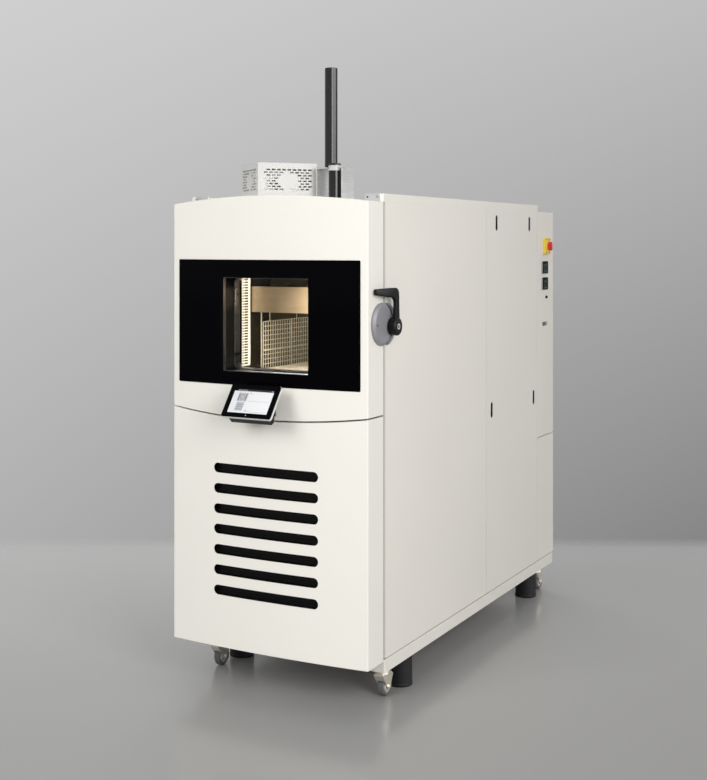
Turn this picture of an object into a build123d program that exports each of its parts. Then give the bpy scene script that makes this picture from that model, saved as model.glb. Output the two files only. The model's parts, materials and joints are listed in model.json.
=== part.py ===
from build123d import *
from math import hypot
import os

# Environmental test chamber for thermal shock: a hot test space above a cold one, and a
# wire basket that a lift carries between them. Millimetres, +Z up, front towards -Y.
# The origin is on the floor, under the middle of the chamber.

# Casing
casing_width = 870
half_width = casing_width / 2
door_plane_y = -795
casing_back_y = door_plane_y + 1888
skirt_z = 127
panel_z = 181
roof_z = 1889
sheet = 2
panel_fold = 18
seam = 4
split_gap = 6
lip = 8
access_front_y = door_plane_y + 1001
access_back_y = door_plane_y + 1653
rear_split_z = 782

# Bowed door and lower cover
door_depth = 134
front_bow = 20
top_rise = 28
split_z = 1095
split_sag = 29.5
cover_z = 173
skin = 3
edge_gap = 12
corner_radius = 5
corner_y = door_plane_y - door_depth
door_back_y = door_plane_y - edge_gap
glass_half = 405
glass_z = (1191, 1672)
glass_thick = 5
glass_proud = 1.5
window_half = 192
window_z = (1241, 1604)
window_mid_z = sum(window_z) / 2
window_high = window_z[1] - window_z[0]
slot_length = 466
slot_height = 38
slot_pitch = 78.8
slot_count = 7
slot_mid_z = 629

# Test spaces
space_half = 215
space_z = (1213, 1645)
space_back_y = door_plane_y + 660
wall = 110
liner = 1.5
cold_z = (640, 1075)
cold_front_y = door_plane_y + 92
cold_low_z = 560
floor_split_z = 1134
basket_half = 190
basket_y = (door_plane_y + 122, door_plane_y + 548)
basket_mid_y = sum(basket_y) / 2
basket_deep = basket_y[1] - basket_y[0]
basket_z = (1215, 1456)
plug_thick = 100
passage_gap = 8
rod_radius = 10
rod_y = door_plane_y + 368
rod_top_z = 2450
baffle_y = door_plane_y + 572
fan_y = door_plane_y + 600
hot_fan_z = 1430
cold_fan_z = 860
fan_radius = 85
heater_radii = (96, 112, 128)

# Roof
tube_radius = 26.5
tube_top_z = 2463
bracket_x = (-32, 90)
bracket_y = (door_plane_y + 298, door_plane_y + 398)
bracket_top_z = 2047
drive_x = 46
drive_y = door_plane_y + 318
drive_radius = 26
collar_z = (2033, 2055)
rail_width = 30
rail_height = 32
rail_front_y = door_plane_y - 7
rail_back_y = door_plane_y + 1662
guard_corner = (-218, door_plane_y + 145)
guard_angle = 49
guard_size = (258, 245)
guard_top_z = 2066

# Latch, on the right side
disc_radius = 80
disc_y = door_plane_y - 32
disc_z = 1434
disc_thick = 15
keeper_y = door_plane_y - 10
lever_y = door_plane_y + 20
lever_z = 1424
lever_rise = 128
lever_x = (466, 484)
hub_radius = 34
arm_wide = (34, 26)
grip_reach = 120
grip_high = (34, 22)

# Touch panel: its front face, from the bottom edge to the top edge
panel_width = 216
panel_low = (door_plane_y - 287, 1090)
panel_high = (door_plane_y - 204, 1201)
panel_rise = hypot(panel_high[0] - panel_low[0], panel_high[1] - panel_low[1])
panel_glass = 3
panel_body = 12

# Floor gear
foot_x = 370
foot_radius = 50
foot_rows = (door_plane_y + 259, door_plane_y + 1669)
caster_x = 376
caster_rows = (door_plane_y + 94, door_plane_y + 1795)
caster_trail = 22
wheel_radius = 37.5
wheel_width = 28
axle_radius = 6

# Rear strip on the right side
strip_y = door_plane_y + 1772
switch_z = 1721
controller_z = (1616, 1536)
port_z = 1468
socket_z = 1336

hinge_x = -half_width - 9
hinge_radius = 8.5
hinge_rows = (1210, 1480, 1750)
pin_radius = 4
pin_play = 0.05


def bowed_edge(start, end, bulge):
    """An edge from start to end whose middle stands out by bulge along the second axis."""
    middle = ((start[0] + end[0]) / 2, (start[1] + end[1]) / 2 + bulge)
    return ThreePointArc(start, middle, end) if bulge else Line(start, end)


def bowed_plan(half, back_y, inset):
    """The plan of the bowed front, pulled in from its outer surface by inset."""
    front_y = corner_y + inset
    with BuildSketch() as plan:
        with BuildLine():
            Polyline((-half, front_y), (-half, back_y), (half, back_y), (half, front_y))
            bowed_edge((half, front_y), (-half, front_y), -front_bow)
        make_face()
        fillet(plan.vertices().group_by(Axis.Y)[0], corner_radius)
    return plan.sketch


def arched_face(half, low_z, low_bulge, high_z, high_bulge):
    """A front view with an arched lower and upper edge."""
    with BuildSketch() as face:
        with BuildLine():
            bowed_edge((-half, low_z), (half, low_z), low_bulge)
            Line((half, low_z), (half, high_z))
            bowed_edge((half, high_z), (-half, high_z), high_bulge)
            Line((-half, high_z), (-half, low_z))
        make_face()
    return face.sketch


def bowed_block(inset, back_y, low_z, low_bulge, high_z, high_bulge):
    """A block with the bowed front, cut to the arched outline of the door or cover."""
    half = half_width - inset
    with BuildPart() as block:
        with BuildSketch(Plane.XY):
            add(bowed_plan(half, back_y, inset))
        extrude(amount=high_z + top_rise)
        with BuildSketch(Plane.XZ):
            add(arched_face(half, low_z, low_bulge, high_z, high_bulge))
        extrude(amount=2 * casing_back_y, both=True, mode=Mode.INTERSECT)
    return block.part


def bowed_plate(half, low_z, high_z, proud, thick):
    """A curved plate on the bowed front, standing proud of it, with a given thickness."""
    with BuildPart() as plate:
        with BuildSketch(Plane.XY.offset(low_z)):
            add(bowed_plan(half_width, door_back_y, -proud))
            add(bowed_plan(half_width, door_back_y, thick - proud), mode=Mode.SUBTRACT)
        extrude(amount=high_z - low_z)
        with BuildSketch(Plane.XZ):
            with Locations((0, (low_z + high_z) / 2)):
                RectangleRounded(2 * half, high_z - low_z, 5)
        extrude(amount=2 * casing_back_y, both=True, mode=Mode.INTERSECT)
    return plate.part


def box_between(low, high):
    """A box from its lowest to its highest corner."""
    size = [high[i] - low[i] for i in range(3)]
    middle = tuple((high[i] + low[i]) / 2 for i in range(3))
    with BuildPart() as box:
        with Locations(middle):
            Box(*size)
    return box.part


def side_pan(side, front_y, back_y, low_z, high_z):
    """A side panel of the casing, a sheet with its four edges folded inwards."""
    middle = ((front_y + back_y) / 2, (low_z + high_z) / 2)
    with BuildPart() as pan:
        with BuildSketch(Plane.YZ.offset(side * half_width)):
            with Locations(middle):
                Rectangle(back_y - front_y, high_z - low_z)
        extrude(amount=-side * panel_fold)
        with BuildSketch(Plane.YZ.offset(side * (half_width - sheet))):
            with Locations(middle):
                Rectangle(back_y - front_y - 2 * sheet, high_z - low_z - 2 * sheet)
        extrude(amount=-side * panel_fold, mode=Mode.SUBTRACT)
    return pan.part


def save(part, name):
    """Labels a finished piece and writes it."""
    part.label = name
    export_step(part, f"parts/{name}.step")


os.makedirs("parts", exist_ok=True)

# Base frame: a deep plinth that the casing stands on, flush with its sides
base_top_z = panel_z - seam
with BuildPart() as base_frame:
    add(box_between((-half_width, door_plane_y, skirt_z), (half_width, casing_back_y - 6, base_top_z)))
    fillet(base_frame.edges().filter_by(Axis.Z), 6)
    with BuildSketch(Plane.YZ.offset(half_width)):
        with Locations((access_front_y + 100, base_top_z)):
            Rectangle(26, 12)
    extrude(amount=-30, mode=Mode.SUBTRACT)
save(base_frame.part, "base_frame")

# Casing: side panels, access panels with their pill-shaped latches, rear strips
latch_spots = [
    (door_plane_y + 1122, 1827),
    (door_plane_y + 1545, 1827),
    (door_plane_y + 1063, 988),
    (door_plane_y + 1603, 988),
]
latch_high = 72
latch_wide = 28
latch_deep = 10


def access_panel(side):
    """A lift-off panel with four pill-shaped openings for its flush latches."""
    with BuildPart() as panel:
        add(side_pan(side, access_front_y + seam / 2, access_back_y - seam / 2, panel_z, roof_z))
        with BuildSketch(Plane.YZ.offset(side * half_width)):
            with Locations(*latch_spots):
                SlotOverall(latch_high, latch_wide, rotation=90)
        extrude(amount=-side * sheet, mode=Mode.SUBTRACT)
    return panel.part


for side, word in ((-1, "left"), (1, "right")):
    with BuildPart() as side_panel:
        add(side_pan(side, door_plane_y + 6, access_front_y - seam / 2, panel_z, roof_z))
    save(side_panel.part, f"side_panel_{word}")
    save(access_panel(side), f"access_panel_{word}")

with BuildPart() as panel_latches:
    for side in (-1, 1):
        face = Plane.YZ.offset(side * (half_width - sheet))
        with BuildSketch(face):
            with Locations(*latch_spots):
                SlotOverall(latch_high + 8, latch_wide + 8, rotation=90)
        extrude(amount=-side * (latch_deep + 4))
        with BuildSketch(face):
            with Locations(*latch_spots):
                SlotOverall(latch_high - 4, latch_wide - 4, rotation=90)
        extrude(amount=-side * latch_deep, mode=Mode.SUBTRACT)
        with BuildSketch(face.offset(-side * (latch_deep + 1))):
            with Locations(*[(y, z + 9) for y, z in latch_spots]):
                SlotOverall(latch_high - 36, latch_wide - 14, rotation=90)
        extrude(amount=side * (latch_deep - 1))
save(panel_latches.part, "panel_latches")

with BuildPart() as rear_side_panels:
    for side in (-1, 1):
        add(side_pan(side, access_back_y + seam / 2, casing_back_y, rear_split_z + seam / 2, roof_z))
        add(side_pan(side, access_back_y + seam / 2, casing_back_y, panel_z, rear_split_z - seam / 2))
save(rear_side_panels.part, "rear_side_panels")

vent_rows = 9
vent_mid_z = (520, 1520)
with BuildPart() as rear_panel:
    with BuildSketch(Plane.XZ.offset(-casing_back_y)):
        with Locations((0, (panel_z + roof_z) / 2)):
            Rectangle(2 * (half_width - panel_fold) - 4, roof_z - panel_z)
        for mid_z in vent_mid_z:
            with Locations((-140, mid_z), (140, mid_z)):
                with GridLocations(1, 24, 1, vent_rows):
                    Rectangle(220, 9, mode=Mode.SUBTRACT)
    extrude(amount=sheet + 1)
save(rear_panel.part, "rear_panel")

with BuildPart() as roof_panel:
    half = half_width - panel_fold - 1
    add(box_between((-half, door_plane_y + 6, roof_z - 24), (half, casing_back_y - 4, roof_z)))
    add(
        box_between((-half + 3, door_plane_y + 9, 1800), (half - 3, casing_back_y - 7, roof_z - 3)),
        mode=Mode.SUBTRACT,
    )
    with BuildSketch(Plane.XY.offset(roof_z)):
        with Locations((0, rod_y)):
            Circle(rod_radius + 8)
    extrude(amount=-10, mode=Mode.SUBTRACT)
save(roof_panel.part, "roof_panel")

# Roof rails of folded channel
rail_mid_x = half_width - rail_width / 2
with BuildPart() as roof_rails:
    with BuildSketch(Plane.XZ.offset(-rail_back_y)):
        with Locations((-rail_mid_x, roof_z + rail_height / 2), (rail_mid_x, roof_z + rail_height / 2)):
            Rectangle(rail_width, rail_height)
        with Locations((-rail_mid_x, roof_z + rail_height / 2 - 2), (rail_mid_x, roof_z + rail_height / 2 - 2)):
            Rectangle(rail_width - 6, rail_height - 4, mode=Mode.SUBTRACT)
    extrude(amount=rail_back_y - rail_front_y)
save(roof_rails.part, "roof_rails")

# Lower front cover: a bowed shell with seven rounded air slots
with BuildPart() as lower_front_cover:
    add(bowed_block(0, door_back_y, cover_z, 0, split_z - split_gap, -split_sag))
    add(bowed_block(skin, door_back_y, cover_z + skin, 0, split_z - split_gap - skin, -split_sag), mode=Mode.SUBTRACT)
    with BuildSketch(Plane.XZ.offset(-door_plane_y)):
        with Locations((0, slot_mid_z)):
            with GridLocations(1, slot_pitch, 1, slot_count):
                SlotOverall(slot_length, slot_height)
    extrude(amount=2 * door_depth, mode=Mode.SUBTRACT)
save(lower_front_cover.part, "lower_front_cover")

# Air intake behind the slots: a slatted grille on the cover, and the finned condenser
grille_y = corner_y + 6
with BuildPart() as intake_grille:
    add(box_between((-262, grille_y, 360), (262, grille_y + 10, 898)))
    with BuildSketch(Plane.XZ.offset(-grille_y)):
        with Locations((0, slot_mid_z)):
            with GridLocations(1, slot_pitch / 3, 1, 19):
                Rectangle(500, 16)
    extrude(amount=-6, mode=Mode.SUBTRACT)
    for x in (-262, 252):
        add(box_between((x, grille_y + 10, 360), (x + 10, door_plane_y - 2, 898)))
save(intake_grille.part, "intake_grille")

with BuildPart() as condenser:
    add(box_between((-240, door_plane_y - 92, 380), (240, door_plane_y - 32, 880)))
    with BuildSketch(Plane.XY.offset(395)):
        with Locations((0, door_plane_y - 92)):
            with GridLocations(20, 1, 22, 1):
                Rectangle(9, 36)
    extrude(amount=470, mode=Mode.SUBTRACT)
    for x in (-252, 240):
        add(box_between((x, door_plane_y - 80, 380), (x + 12, door_plane_y - 2, 880)))
save(condenser.part, "condenser")

# Front frame: the casing's front wall with the mouth of the test space
with BuildPart() as front_frame:
    with BuildSketch(Plane.XZ.offset(-door_plane_y)):
        with Locations((0, (panel_z + roof_z - 6) / 2)):
            Rectangle(2 * (half_width - 7), roof_z - 6 - panel_z)
        with Locations((0, sum(space_z) / 2)):
            RectangleRounded(2 * space_half, space_z[1] - space_z[0], 24, mode=Mode.SUBTRACT)
    extrude(amount=-6)
    for side in (-1, 1):
        low = min(side * 412, side * 428)
        add(box_between((low, door_plane_y - edge_gap + 1, 200), (low + 16, door_plane_y, 1050)))
save(front_frame.part, "front_frame")

# Insulation around the hot and the cold test space, with the passage between them
passage_half = basket_half + passage_gap
passage_y = (basket_y[0] - passage_gap, basket_y[1] + passage_gap)
shell_half = space_half + liner + wall
shell_back_y = space_back_y + liner + wall
front_y = door_plane_y + 6
with BuildPart() as hot_insulation:
    add(box_between((-shell_half, front_y, floor_split_z), (shell_half, shell_back_y, space_z[1] + wall)))
    grow = liner
    add(
        box_between(
            (-space_half - grow, front_y, space_z[0] - grow),
            (space_half + grow, space_back_y + grow, space_z[1] + grow),
        ),
        mode=Mode.SUBTRACT,
    )
    add(
        box_between((-passage_half, passage_y[0], cold_z[1]), (passage_half, passage_y[1], space_z[0])),
        mode=Mode.SUBTRACT,
    )
    with BuildSketch(Plane.XY.offset(space_z[1])):
        with Locations((0, rod_y)):
            Circle(rod_radius + 4)
    extrude(amount=wall + 10, mode=Mode.SUBTRACT)
    with BuildSketch(Plane.XZ.offset(-space_back_y)):
        with Locations((0, hot_fan_z)):
            Circle(12)
    extrude(amount=-wall - 10, mode=Mode.SUBTRACT)
save(hot_insulation.part, "hot_insulation")

with BuildPart() as cold_insulation:
    add(box_between((-shell_half, front_y, cold_low_z), (shell_half, shell_back_y, floor_split_z)))
    add(
        box_between(
            (-space_half - grow, cold_front_y - grow, cold_z[0] - grow),
            (space_half + grow, space_back_y + grow, cold_z[1] + grow),
        ),
        mode=Mode.SUBTRACT,
    )
    add(
        box_between((-passage_half, passage_y[0], cold_z[1]), (passage_half, passage_y[1], space_z[0])),
        mode=Mode.SUBTRACT,
    )
    with BuildSketch(Plane.XZ.offset(-space_back_y)):
        with Locations((0, cold_fan_z)):
            Circle(12)
    extrude(amount=-wall - 10, mode=Mode.SUBTRACT)
save(cold_insulation.part, "cold_insulation")


def liner_box(front, low_z, high_z, open_front):
    """A stainless liner box with the passage cut through one of its faces."""
    with BuildPart() as box:
        add(
            box_between(
                (-space_half - liner, front - (0 if open_front else liner), low_z - liner),
                (space_half + liner, space_back_y + liner, high_z + liner),
            )
        )
        inner_front = front - (liner if open_front else 0)
        add(
            box_between((-space_half, inner_front, low_z), (space_half, space_back_y, high_z)),
            mode=Mode.SUBTRACT,
        )
        add(
            box_between((-passage_half, passage_y[0], cold_z[1] - 1), (passage_half, passage_y[1], space_z[0] + 1)),
            mode=Mode.SUBTRACT,
        )
    return box.part


with BuildPart() as chamber_liners:
    add(liner_box(front_y, space_z[0], space_z[1], True))
    add(liner_box(cold_front_y, cold_z[0], cold_z[1], False))
    with BuildSketch(Plane.XY.offset(space_z[1])):
        with Locations((0, rod_y)):
            Circle(rod_radius + 4)
    extrude(amount=liner, mode=Mode.SUBTRACT)
    with BuildSketch(Plane.XZ.offset(-space_back_y)):
        with Locations((0, hot_fan_z), (0, cold_fan_z)):
            Circle(12)
    extrude(amount=-liner, mode=Mode.SUBTRACT)
save(chamber_liners.part, "chamber_liners")

# Air guides: slotted strips beside the mouth, and a baffle with a fan inlet in each space
strip_rows = 36
strip_slot = (17, 6)
strip_pitch = (27, 11)
with BuildPart() as air_guides:
    for side in (-1, 1):
        inner = side * (space_half - liner)
        with BuildSketch(Plane.YZ.offset(inner)):
            with Locations((door_plane_y + 47, sum(space_z) / 2)):
                Rectangle(62, space_z[1] - space_z[0] - 60)
                with GridLocations(*strip_pitch, 2, strip_rows):
                    Rectangle(*strip_slot, mode=Mode.SUBTRACT)
        extrude(amount=side * liner)
    for fan_z, spans in ((hot_fan_z, space_z), (cold_fan_z, cold_z)):
        with BuildSketch(Plane.XZ.offset(-baffle_y)):
            with Locations((0, sum(spans) / 2)):
                Rectangle(2 * space_half, spans[1] - spans[0])
                with GridLocations(360, 36, 2, 8):
                    Rectangle(26, 22, mode=Mode.SUBTRACT)
            with Locations((0, fan_z)):
                Circle(fan_radius - 14, mode=Mode.SUBTRACT)
        extrude(amount=-liner)
save(air_guides.part, "air_guides")

# Heater rings in the hot space and finned evaporator in the cold space, round the fans
with BuildPart() as heater_coil:
    with BuildSketch(Plane.XZ.offset(-(baffle_y + liner + 14))):
        with Locations((0, hot_fan_z)):
            for radius in heater_radii:
                Circle(radius + 4)
                Circle(radius - 4, mode=Mode.SUBTRACT)
            with PolarLocations(112, 3):
                Rectangle(46, 6)
            Circle(heater_radii[0] - 4, mode=Mode.SUBTRACT)
    extrude(amount=-8)
    with BuildSketch(Plane.XZ.offset(-(baffle_y + liner))):
        with Locations((0, hot_fan_z)):
            with PolarLocations(112, 3):
                Rectangle(10, 6)
    extrude(amount=-14)
save(heater_coil.part, "heater_coil")

with BuildPart() as evaporator:
    for side in (-1, 1):
        low_x = min(side * 110, side * 210)
        add(box_between((low_x, baffle_y + liner, cold_z[0]), (low_x + 100, baffle_y + 56, cold_z[1] - 20)))
        with BuildSketch(Plane.XZ.offset(-(baffle_y + liner))):
            with Locations((side * 160, cold_fan_z)):
                with GridLocations(1, 24, 1, 15):
                    Rectangle(84, 10)
        extrude(amount=-30, mode=Mode.SUBTRACT)
save(evaporator.part, "evaporator")

# Circulation fans and their motors on the back of the insulation
shaft_radius = 8
motor_y = shell_back_y


def fan_wheel(mid_z):
    """A radial fan wheel with a back plate, tilted blades, a hub and its shaft."""
    with BuildPart() as wheel:
        with BuildSketch(Plane.XZ.offset(-(fan_y + 32))):
            with Locations((0, mid_z)):
                Circle(fan_radius)
        extrude(amount=-3)
        with BuildSketch(Plane.XZ.offset(-fan_y)):
            with Locations((0, mid_z)):
                with PolarLocations(66, 10):
                    Rectangle(34, 2.5, rotation=50)
                Circle(16)
        extrude(amount=-32)
        with BuildSketch(Plane.XZ.offset(-fan_y)):
            with Locations((0, mid_z)):
                Circle(shaft_radius)
        extrude(amount=-(motor_y - fan_y - 1))
    return wheel.part


save(fan_wheel(hot_fan_z), "hot_fan")
save(fan_wheel(cold_fan_z), "cold_fan")

with BuildPart() as fan_motors:
    for fan_z in (hot_fan_z, cold_fan_z):
        with BuildSketch(Plane.XZ.offset(-motor_y)):
            with Locations((0, fan_z)):
                Rectangle(120, 120)
        extrude(amount=-8)
        with BuildSketch(Plane.XZ.offset(-(motor_y + 8))):
            with Locations((0, fan_z)):
                Circle(48)
        extrude(amount=-110)
save(fan_motors.part, "fan_motors")

# Compressors: two domed cans on feet in the machine space at the back
can_radius = 95
can_spots = [(-190, door_plane_y + 1050), (190, door_plane_y + 1300)]
with BuildPart() as compressors:
    with BuildSketch(Plane.XY.offset(panel_z - 4)):
        with Locations(*can_spots):
            Rectangle(220, 220)
    extrude(amount=10)
    with BuildSketch(Plane.XY.offset(panel_z + 6)):
        with Locations(*can_spots):
            Circle(can_radius)
    extrude(amount=300)
    fillet(compressors.edges().group_by(Axis.Z)[-1], 50)
save(compressors.part, "compressors")

# Basket: a welded frame of square bar, walls of tall slots, insulated plugs, lift rod
bar = 9
with BuildPart() as basket_frame:
    add(box_between((-basket_half, basket_y[0], basket_z[0]), (basket_half, basket_y[1], basket_z[1])))
    for plane, middle, wide in ((Plane.XZ, 0, basket_half * 2), (Plane.YZ, basket_mid_y, basket_deep)):
        with BuildSketch(plane):
            with Locations((middle, sum(basket_z) / 2)):
                Rectangle(wide - 2 * bar, basket_z[1] - basket_z[0] - 2 * bar)
        extrude(amount=2 * casing_back_y, both=True, mode=Mode.SUBTRACT)
    with BuildSketch(Plane.XY.offset(basket_z[0])):
        with Locations((0, basket_mid_y)):
            Rectangle(2 * basket_half - 2 * bar, basket_deep - 2 * bar)
    extrude(amount=basket_z[1] - basket_z[0], mode=Mode.SUBTRACT)
save(basket_frame.part, "basket_frame")

mesh_high = basket_z[1] - basket_z[0] - 2 * bar
with BuildPart() as basket_mesh:
    with BuildSketch(Plane.XZ.offset(-(basket_y[1] - 5))):
        with Locations((0, sum(basket_z) / 2)):
            Rectangle(2 * (basket_half - bar), mesh_high)
            with GridLocations(40, 112, 9, 3):
                Rectangle(34, 104, mode=Mode.SUBTRACT)
    extrude(amount=-2)
    for side in (-1, 1):
        with BuildSketch(Plane.YZ.offset(side * (basket_half - 6))):
            with Locations((basket_mid_y, sum(basket_z) / 2)):
                Rectangle(basket_deep - 2 * bar, mesh_high)
                with GridLocations(40, 112, 10, 3):
                    Rectangle(34, 104, mode=Mode.SUBTRACT)
        extrude(amount=side * 2)
save(basket_mesh.part, "basket_mesh")

with BuildPart() as basket_plugs:
    for low_z in (basket_z[0] - plug_thick, basket_z[1]):
        add(box_between((-basket_half, basket_y[0], low_z), (basket_half, basket_y[1], low_z + plug_thick)))
    fillet(basket_plugs.edges().filter_by(Axis.Z), 8)
save(basket_plugs.part, "basket_plugs")

with BuildPart() as lift_rod:
    with BuildSketch(Plane.XY.offset(basket_z[1] + plug_thick)):
        with Locations((0, rod_y)):
            Circle(rod_radius + 14)
    extrude(amount=4)
    with BuildSketch(Plane.XY.offset(basket_z[1] + plug_thick)):
        with Locations((0, rod_y)):
            Circle(rod_radius)
    extrude(amount=rod_top_z - basket_z[1] - plug_thick)
save(lift_rod.part, "lift_rod")

# Roof brackets: one under the lift column, and a punched one on the front end of each rail
bracket_wide = 66
bracket_edge = half_width - 14
with BuildPart() as roof_brackets:
    with BuildSketch(Plane.XZ.offset(-bracket_y[1])):
        with Locations((sum(bracket_x) / 2, (roof_z + bracket_top_z) / 2)):
            Rectangle(bracket_x[1] - bracket_x[0], bracket_top_z - roof_z)
            Rectangle(bracket_x[1] - bracket_x[0] - 8, bracket_top_z - roof_z - 12, mode=Mode.SUBTRACT)
    extrude(amount=bracket_y[1] - bracket_y[0])
    with BuildSketch(Plane.XY.offset(roof_z)):
        with Locations((0, rod_y)):
            Circle(rod_radius + 4)
        with Locations((drive_x, drive_y)):
            Circle(drive_radius + 2)
            with Locations((0, -40)):
                Rectangle(2 * drive_radius + 4, 80)
    extrude(amount=bracket_top_z - roof_z, mode=Mode.SUBTRACT)
    for side in (-1, 1):
        with BuildSketch(Plane.XZ.offset(-rail_front_y)):
            with BuildLine():
                Polyline(
                    (side * (bracket_edge - bracket_wide), roof_z + 1),
                    (side * bracket_edge, roof_z + 1),
                    (side * bracket_edge, roof_z + 24),
                    (side * (bracket_edge - 9), roof_z + 34),
                    (side * (bracket_edge - bracket_wide), roof_z + 34),
                    close=True,
                )
            make_face()
            with Locations((side * (bracket_edge - 12), roof_z + 20), (side * (bracket_edge - 54), roof_z + 20)):
                Circle(4, mode=Mode.SUBTRACT)
        extrude(amount=3)
save(roof_brackets.part, "roof_brackets")

with BuildPart() as lift_column_tube:
    with BuildSketch(Plane.XY.offset(bracket_top_z)):
        with Locations((0, rod_y)):
            Circle(tube_radius)
            Circle(rod_radius + 4, mode=Mode.SUBTRACT)
    extrude(amount=tube_top_z - bracket_top_z - 4)
    with BuildSketch(Plane.XY.offset(tube_top_z - 4)):
        with Locations((0, rod_y)):
            Circle(tube_radius)
    extrude(amount=4)
    chamfer(lift_column_tube.edges().group_by(Axis.Z)[-1], 2)
save(lift_column_tube.part, "lift_column_tube")

with BuildPart() as lift_drive:
    with BuildSketch(Plane.XY.offset(roof_z)):
        with Locations((drive_x, drive_y)):
            Circle(drive_radius)
    extrude(amount=collar_z[0] - roof_z)
    with BuildSketch(Plane.XY.offset(collar_z[1])):
        with Locations((drive_x, drive_y)):
            Circle(drive_radius - 1)
    extrude(amount=8)
    fillet(lift_drive.edges().group_by(Axis.Z)[-1], 5)
save(lift_drive.part, "lift_drive")

with BuildPart() as column_collar:
    with BuildSketch(Plane.XY.offset(collar_z[0])):
        with Locations((drive_x, drive_y)):
            Circle(drive_radius + 1)
    extrude(amount=collar_z[1] - collar_z[0])
    chamfer(column_collar.edges().group_by(Axis.Z)[-1], 3)
save(column_collar.part, "column_collar")

# Perforated guard, a folded box turned on the roof, over the brake resistor
guard_plane = Plane(origin=(*guard_corner, roof_z), x_dir=Vector(1, 0, 0).rotate(Axis.Z, guard_angle))
guard_high = guard_top_z - roof_z
guard_mid = (guard_size[0] / 2, guard_size[1] / 2)
dash = (16, 6)
dash_pitch = (22.4, 11.5)
dash_low_z = 68
dash_rows = 8
blank_row = 3
blank = (48, 36)


def dash_spots():
    """Staggered rows of dashes that leave an oval blank in the middle."""
    spots = []
    for row in range(dash_rows):
        for column in range(9):
            x = (column - 4) * dash_pitch[0] + (dash_pitch[0] / 4 if row % 2 else -dash_pitch[0] / 4)
            z = (row - blank_row) * dash_pitch[1]
            if (x / blank[0]) ** 2 + (z / blank[1]) ** 2 > 1:
                spots.append((x, dash_low_z + row * dash_pitch[1]))
    return spots


with BuildPart() as drive_guard:
    with BuildSketch(guard_plane):
        with Locations(guard_mid):
            Rectangle(*guard_size)
    extrude(amount=guard_high)
    fillet(drive_guard.edges().filter_by(Axis.Z), 3)
    with BuildSketch(guard_plane):
        with Locations(guard_mid):
            Rectangle(guard_size[0] - 4, guard_size[1] - 4)
    extrude(amount=guard_high - 2, mode=Mode.SUBTRACT)
    for turn, wide in ((0, guard_size[0]), (90, guard_size[1])):
        centre = guard_plane.from_local_coords(Vector(*guard_mid, 0))
        along = guard_plane.x_dir.rotate(Axis.Z, turn)
        across = Plane(origin=centre, x_dir=along, z_dir=along.rotate(Axis.Z, -90))
        with BuildSketch(across):
            with Locations(*dash_spots()):
                Rectangle(*dash)
        extrude(amount=200, both=True, mode=Mode.SUBTRACT)
save(drive_guard.part, "drive_guard")

with BuildPart() as brake_resistor:
    with BuildSketch(guard_plane):
        with Locations(guard_mid):
            Rectangle(190, 90)
    extrude(amount=12)
    with BuildSketch(guard_plane.offset(12)):
        with Locations(guard_mid):
            with GridLocations(1, 26, 1, 3):
                SlotOverall(170, 20)
    extrude(amount=110)
save(brake_resistor.part, "brake_resistor")

# Door: a bowed shell whose arched lower lip hangs in front of a flat underside, so that it
# swings clear of the cover; insulated core, window tunnel, black glass ring, panes, seal
inner_outline = (split_z + skin, 0, roof_z - skin, top_rise)
with BuildPart() as door_shell:
    add(bowed_block(0, door_back_y, split_z, -split_sag, roof_z, top_rise))
    add(bowed_block(skin, door_back_y, *inner_outline), mode=Mode.SUBTRACT)
    add(bowed_block(lip, door_back_y, split_z - 2 * split_sag, 0, split_z, 0), mode=Mode.SUBTRACT)
    with BuildSketch(Plane.XZ.offset(-door_plane_y)):
        with Locations((0, window_mid_z)):
            Rectangle(2 * window_half + 20, window_high + 20)
    extrude(amount=2 * door_depth, mode=Mode.SUBTRACT)
    add(
        bowed_plate(glass_half, *glass_z, glass_proud, glass_thick),
        mode=Mode.SUBTRACT,
    )
save(door_shell.part, "door_shell")

tunnel_front_y = corner_y - front_bow + 8
tunnel_wall = 1.5
with BuildPart() as door_core:
    add(bowed_block(2 * skin, door_back_y, *inner_outline))
    with BuildSketch(Plane.XZ.offset(-door_plane_y)):
        with Locations((0, window_mid_z)):
            Rectangle(2 * (window_half + tunnel_wall), window_high + 2 * tunnel_wall)
    extrude(amount=2 * door_depth, mode=Mode.SUBTRACT)
save(door_core.part, "door_core")

with BuildPart() as window_tunnel:
    with BuildSketch(Plane.XZ.offset(-door_back_y)):
        with Locations((0, window_mid_z)):
            Rectangle(2 * (window_half + tunnel_wall), window_high + 2 * tunnel_wall)
            Rectangle(2 * window_half, window_high, mode=Mode.SUBTRACT)
    extrude(amount=door_back_y - tunnel_front_y)
save(window_tunnel.part, "window_tunnel")

with BuildPart() as black_glass:
    add(bowed_plate(glass_half, *glass_z, glass_proud, glass_thick))
    with BuildSketch(Plane.XZ.offset(-door_plane_y)):
        with Locations((0, window_mid_z)):
            Rectangle(2 * window_half, window_high)
    extrude(amount=2 * door_depth, mode=Mode.SUBTRACT)
save(black_glass.part, "black_glass")

inner_pane_y = door_back_y - 10
with BuildPart() as window_panes:
    with BuildSketch(Plane.XY.offset(window_z[0])):
        add(bowed_plan(half_width, door_back_y, -glass_proud))
        add(bowed_plan(half_width, door_back_y, glass_thick - glass_proud - 1), mode=Mode.SUBTRACT)
    extrude(amount=window_high)
    with BuildSketch(Plane.XZ):
        with Locations((0, window_mid_z)):
            Rectangle(2 * window_half, window_high)
    extrude(amount=2 * casing_back_y, both=True, mode=Mode.INTERSECT)
    with BuildSketch(Plane.XZ.offset(-inner_pane_y)):
        with Locations((0, window_mid_z)):
            Rectangle(2 * window_half, window_high)
    extrude(amount=6)
save(window_panes.part, "window_panes")

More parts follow.
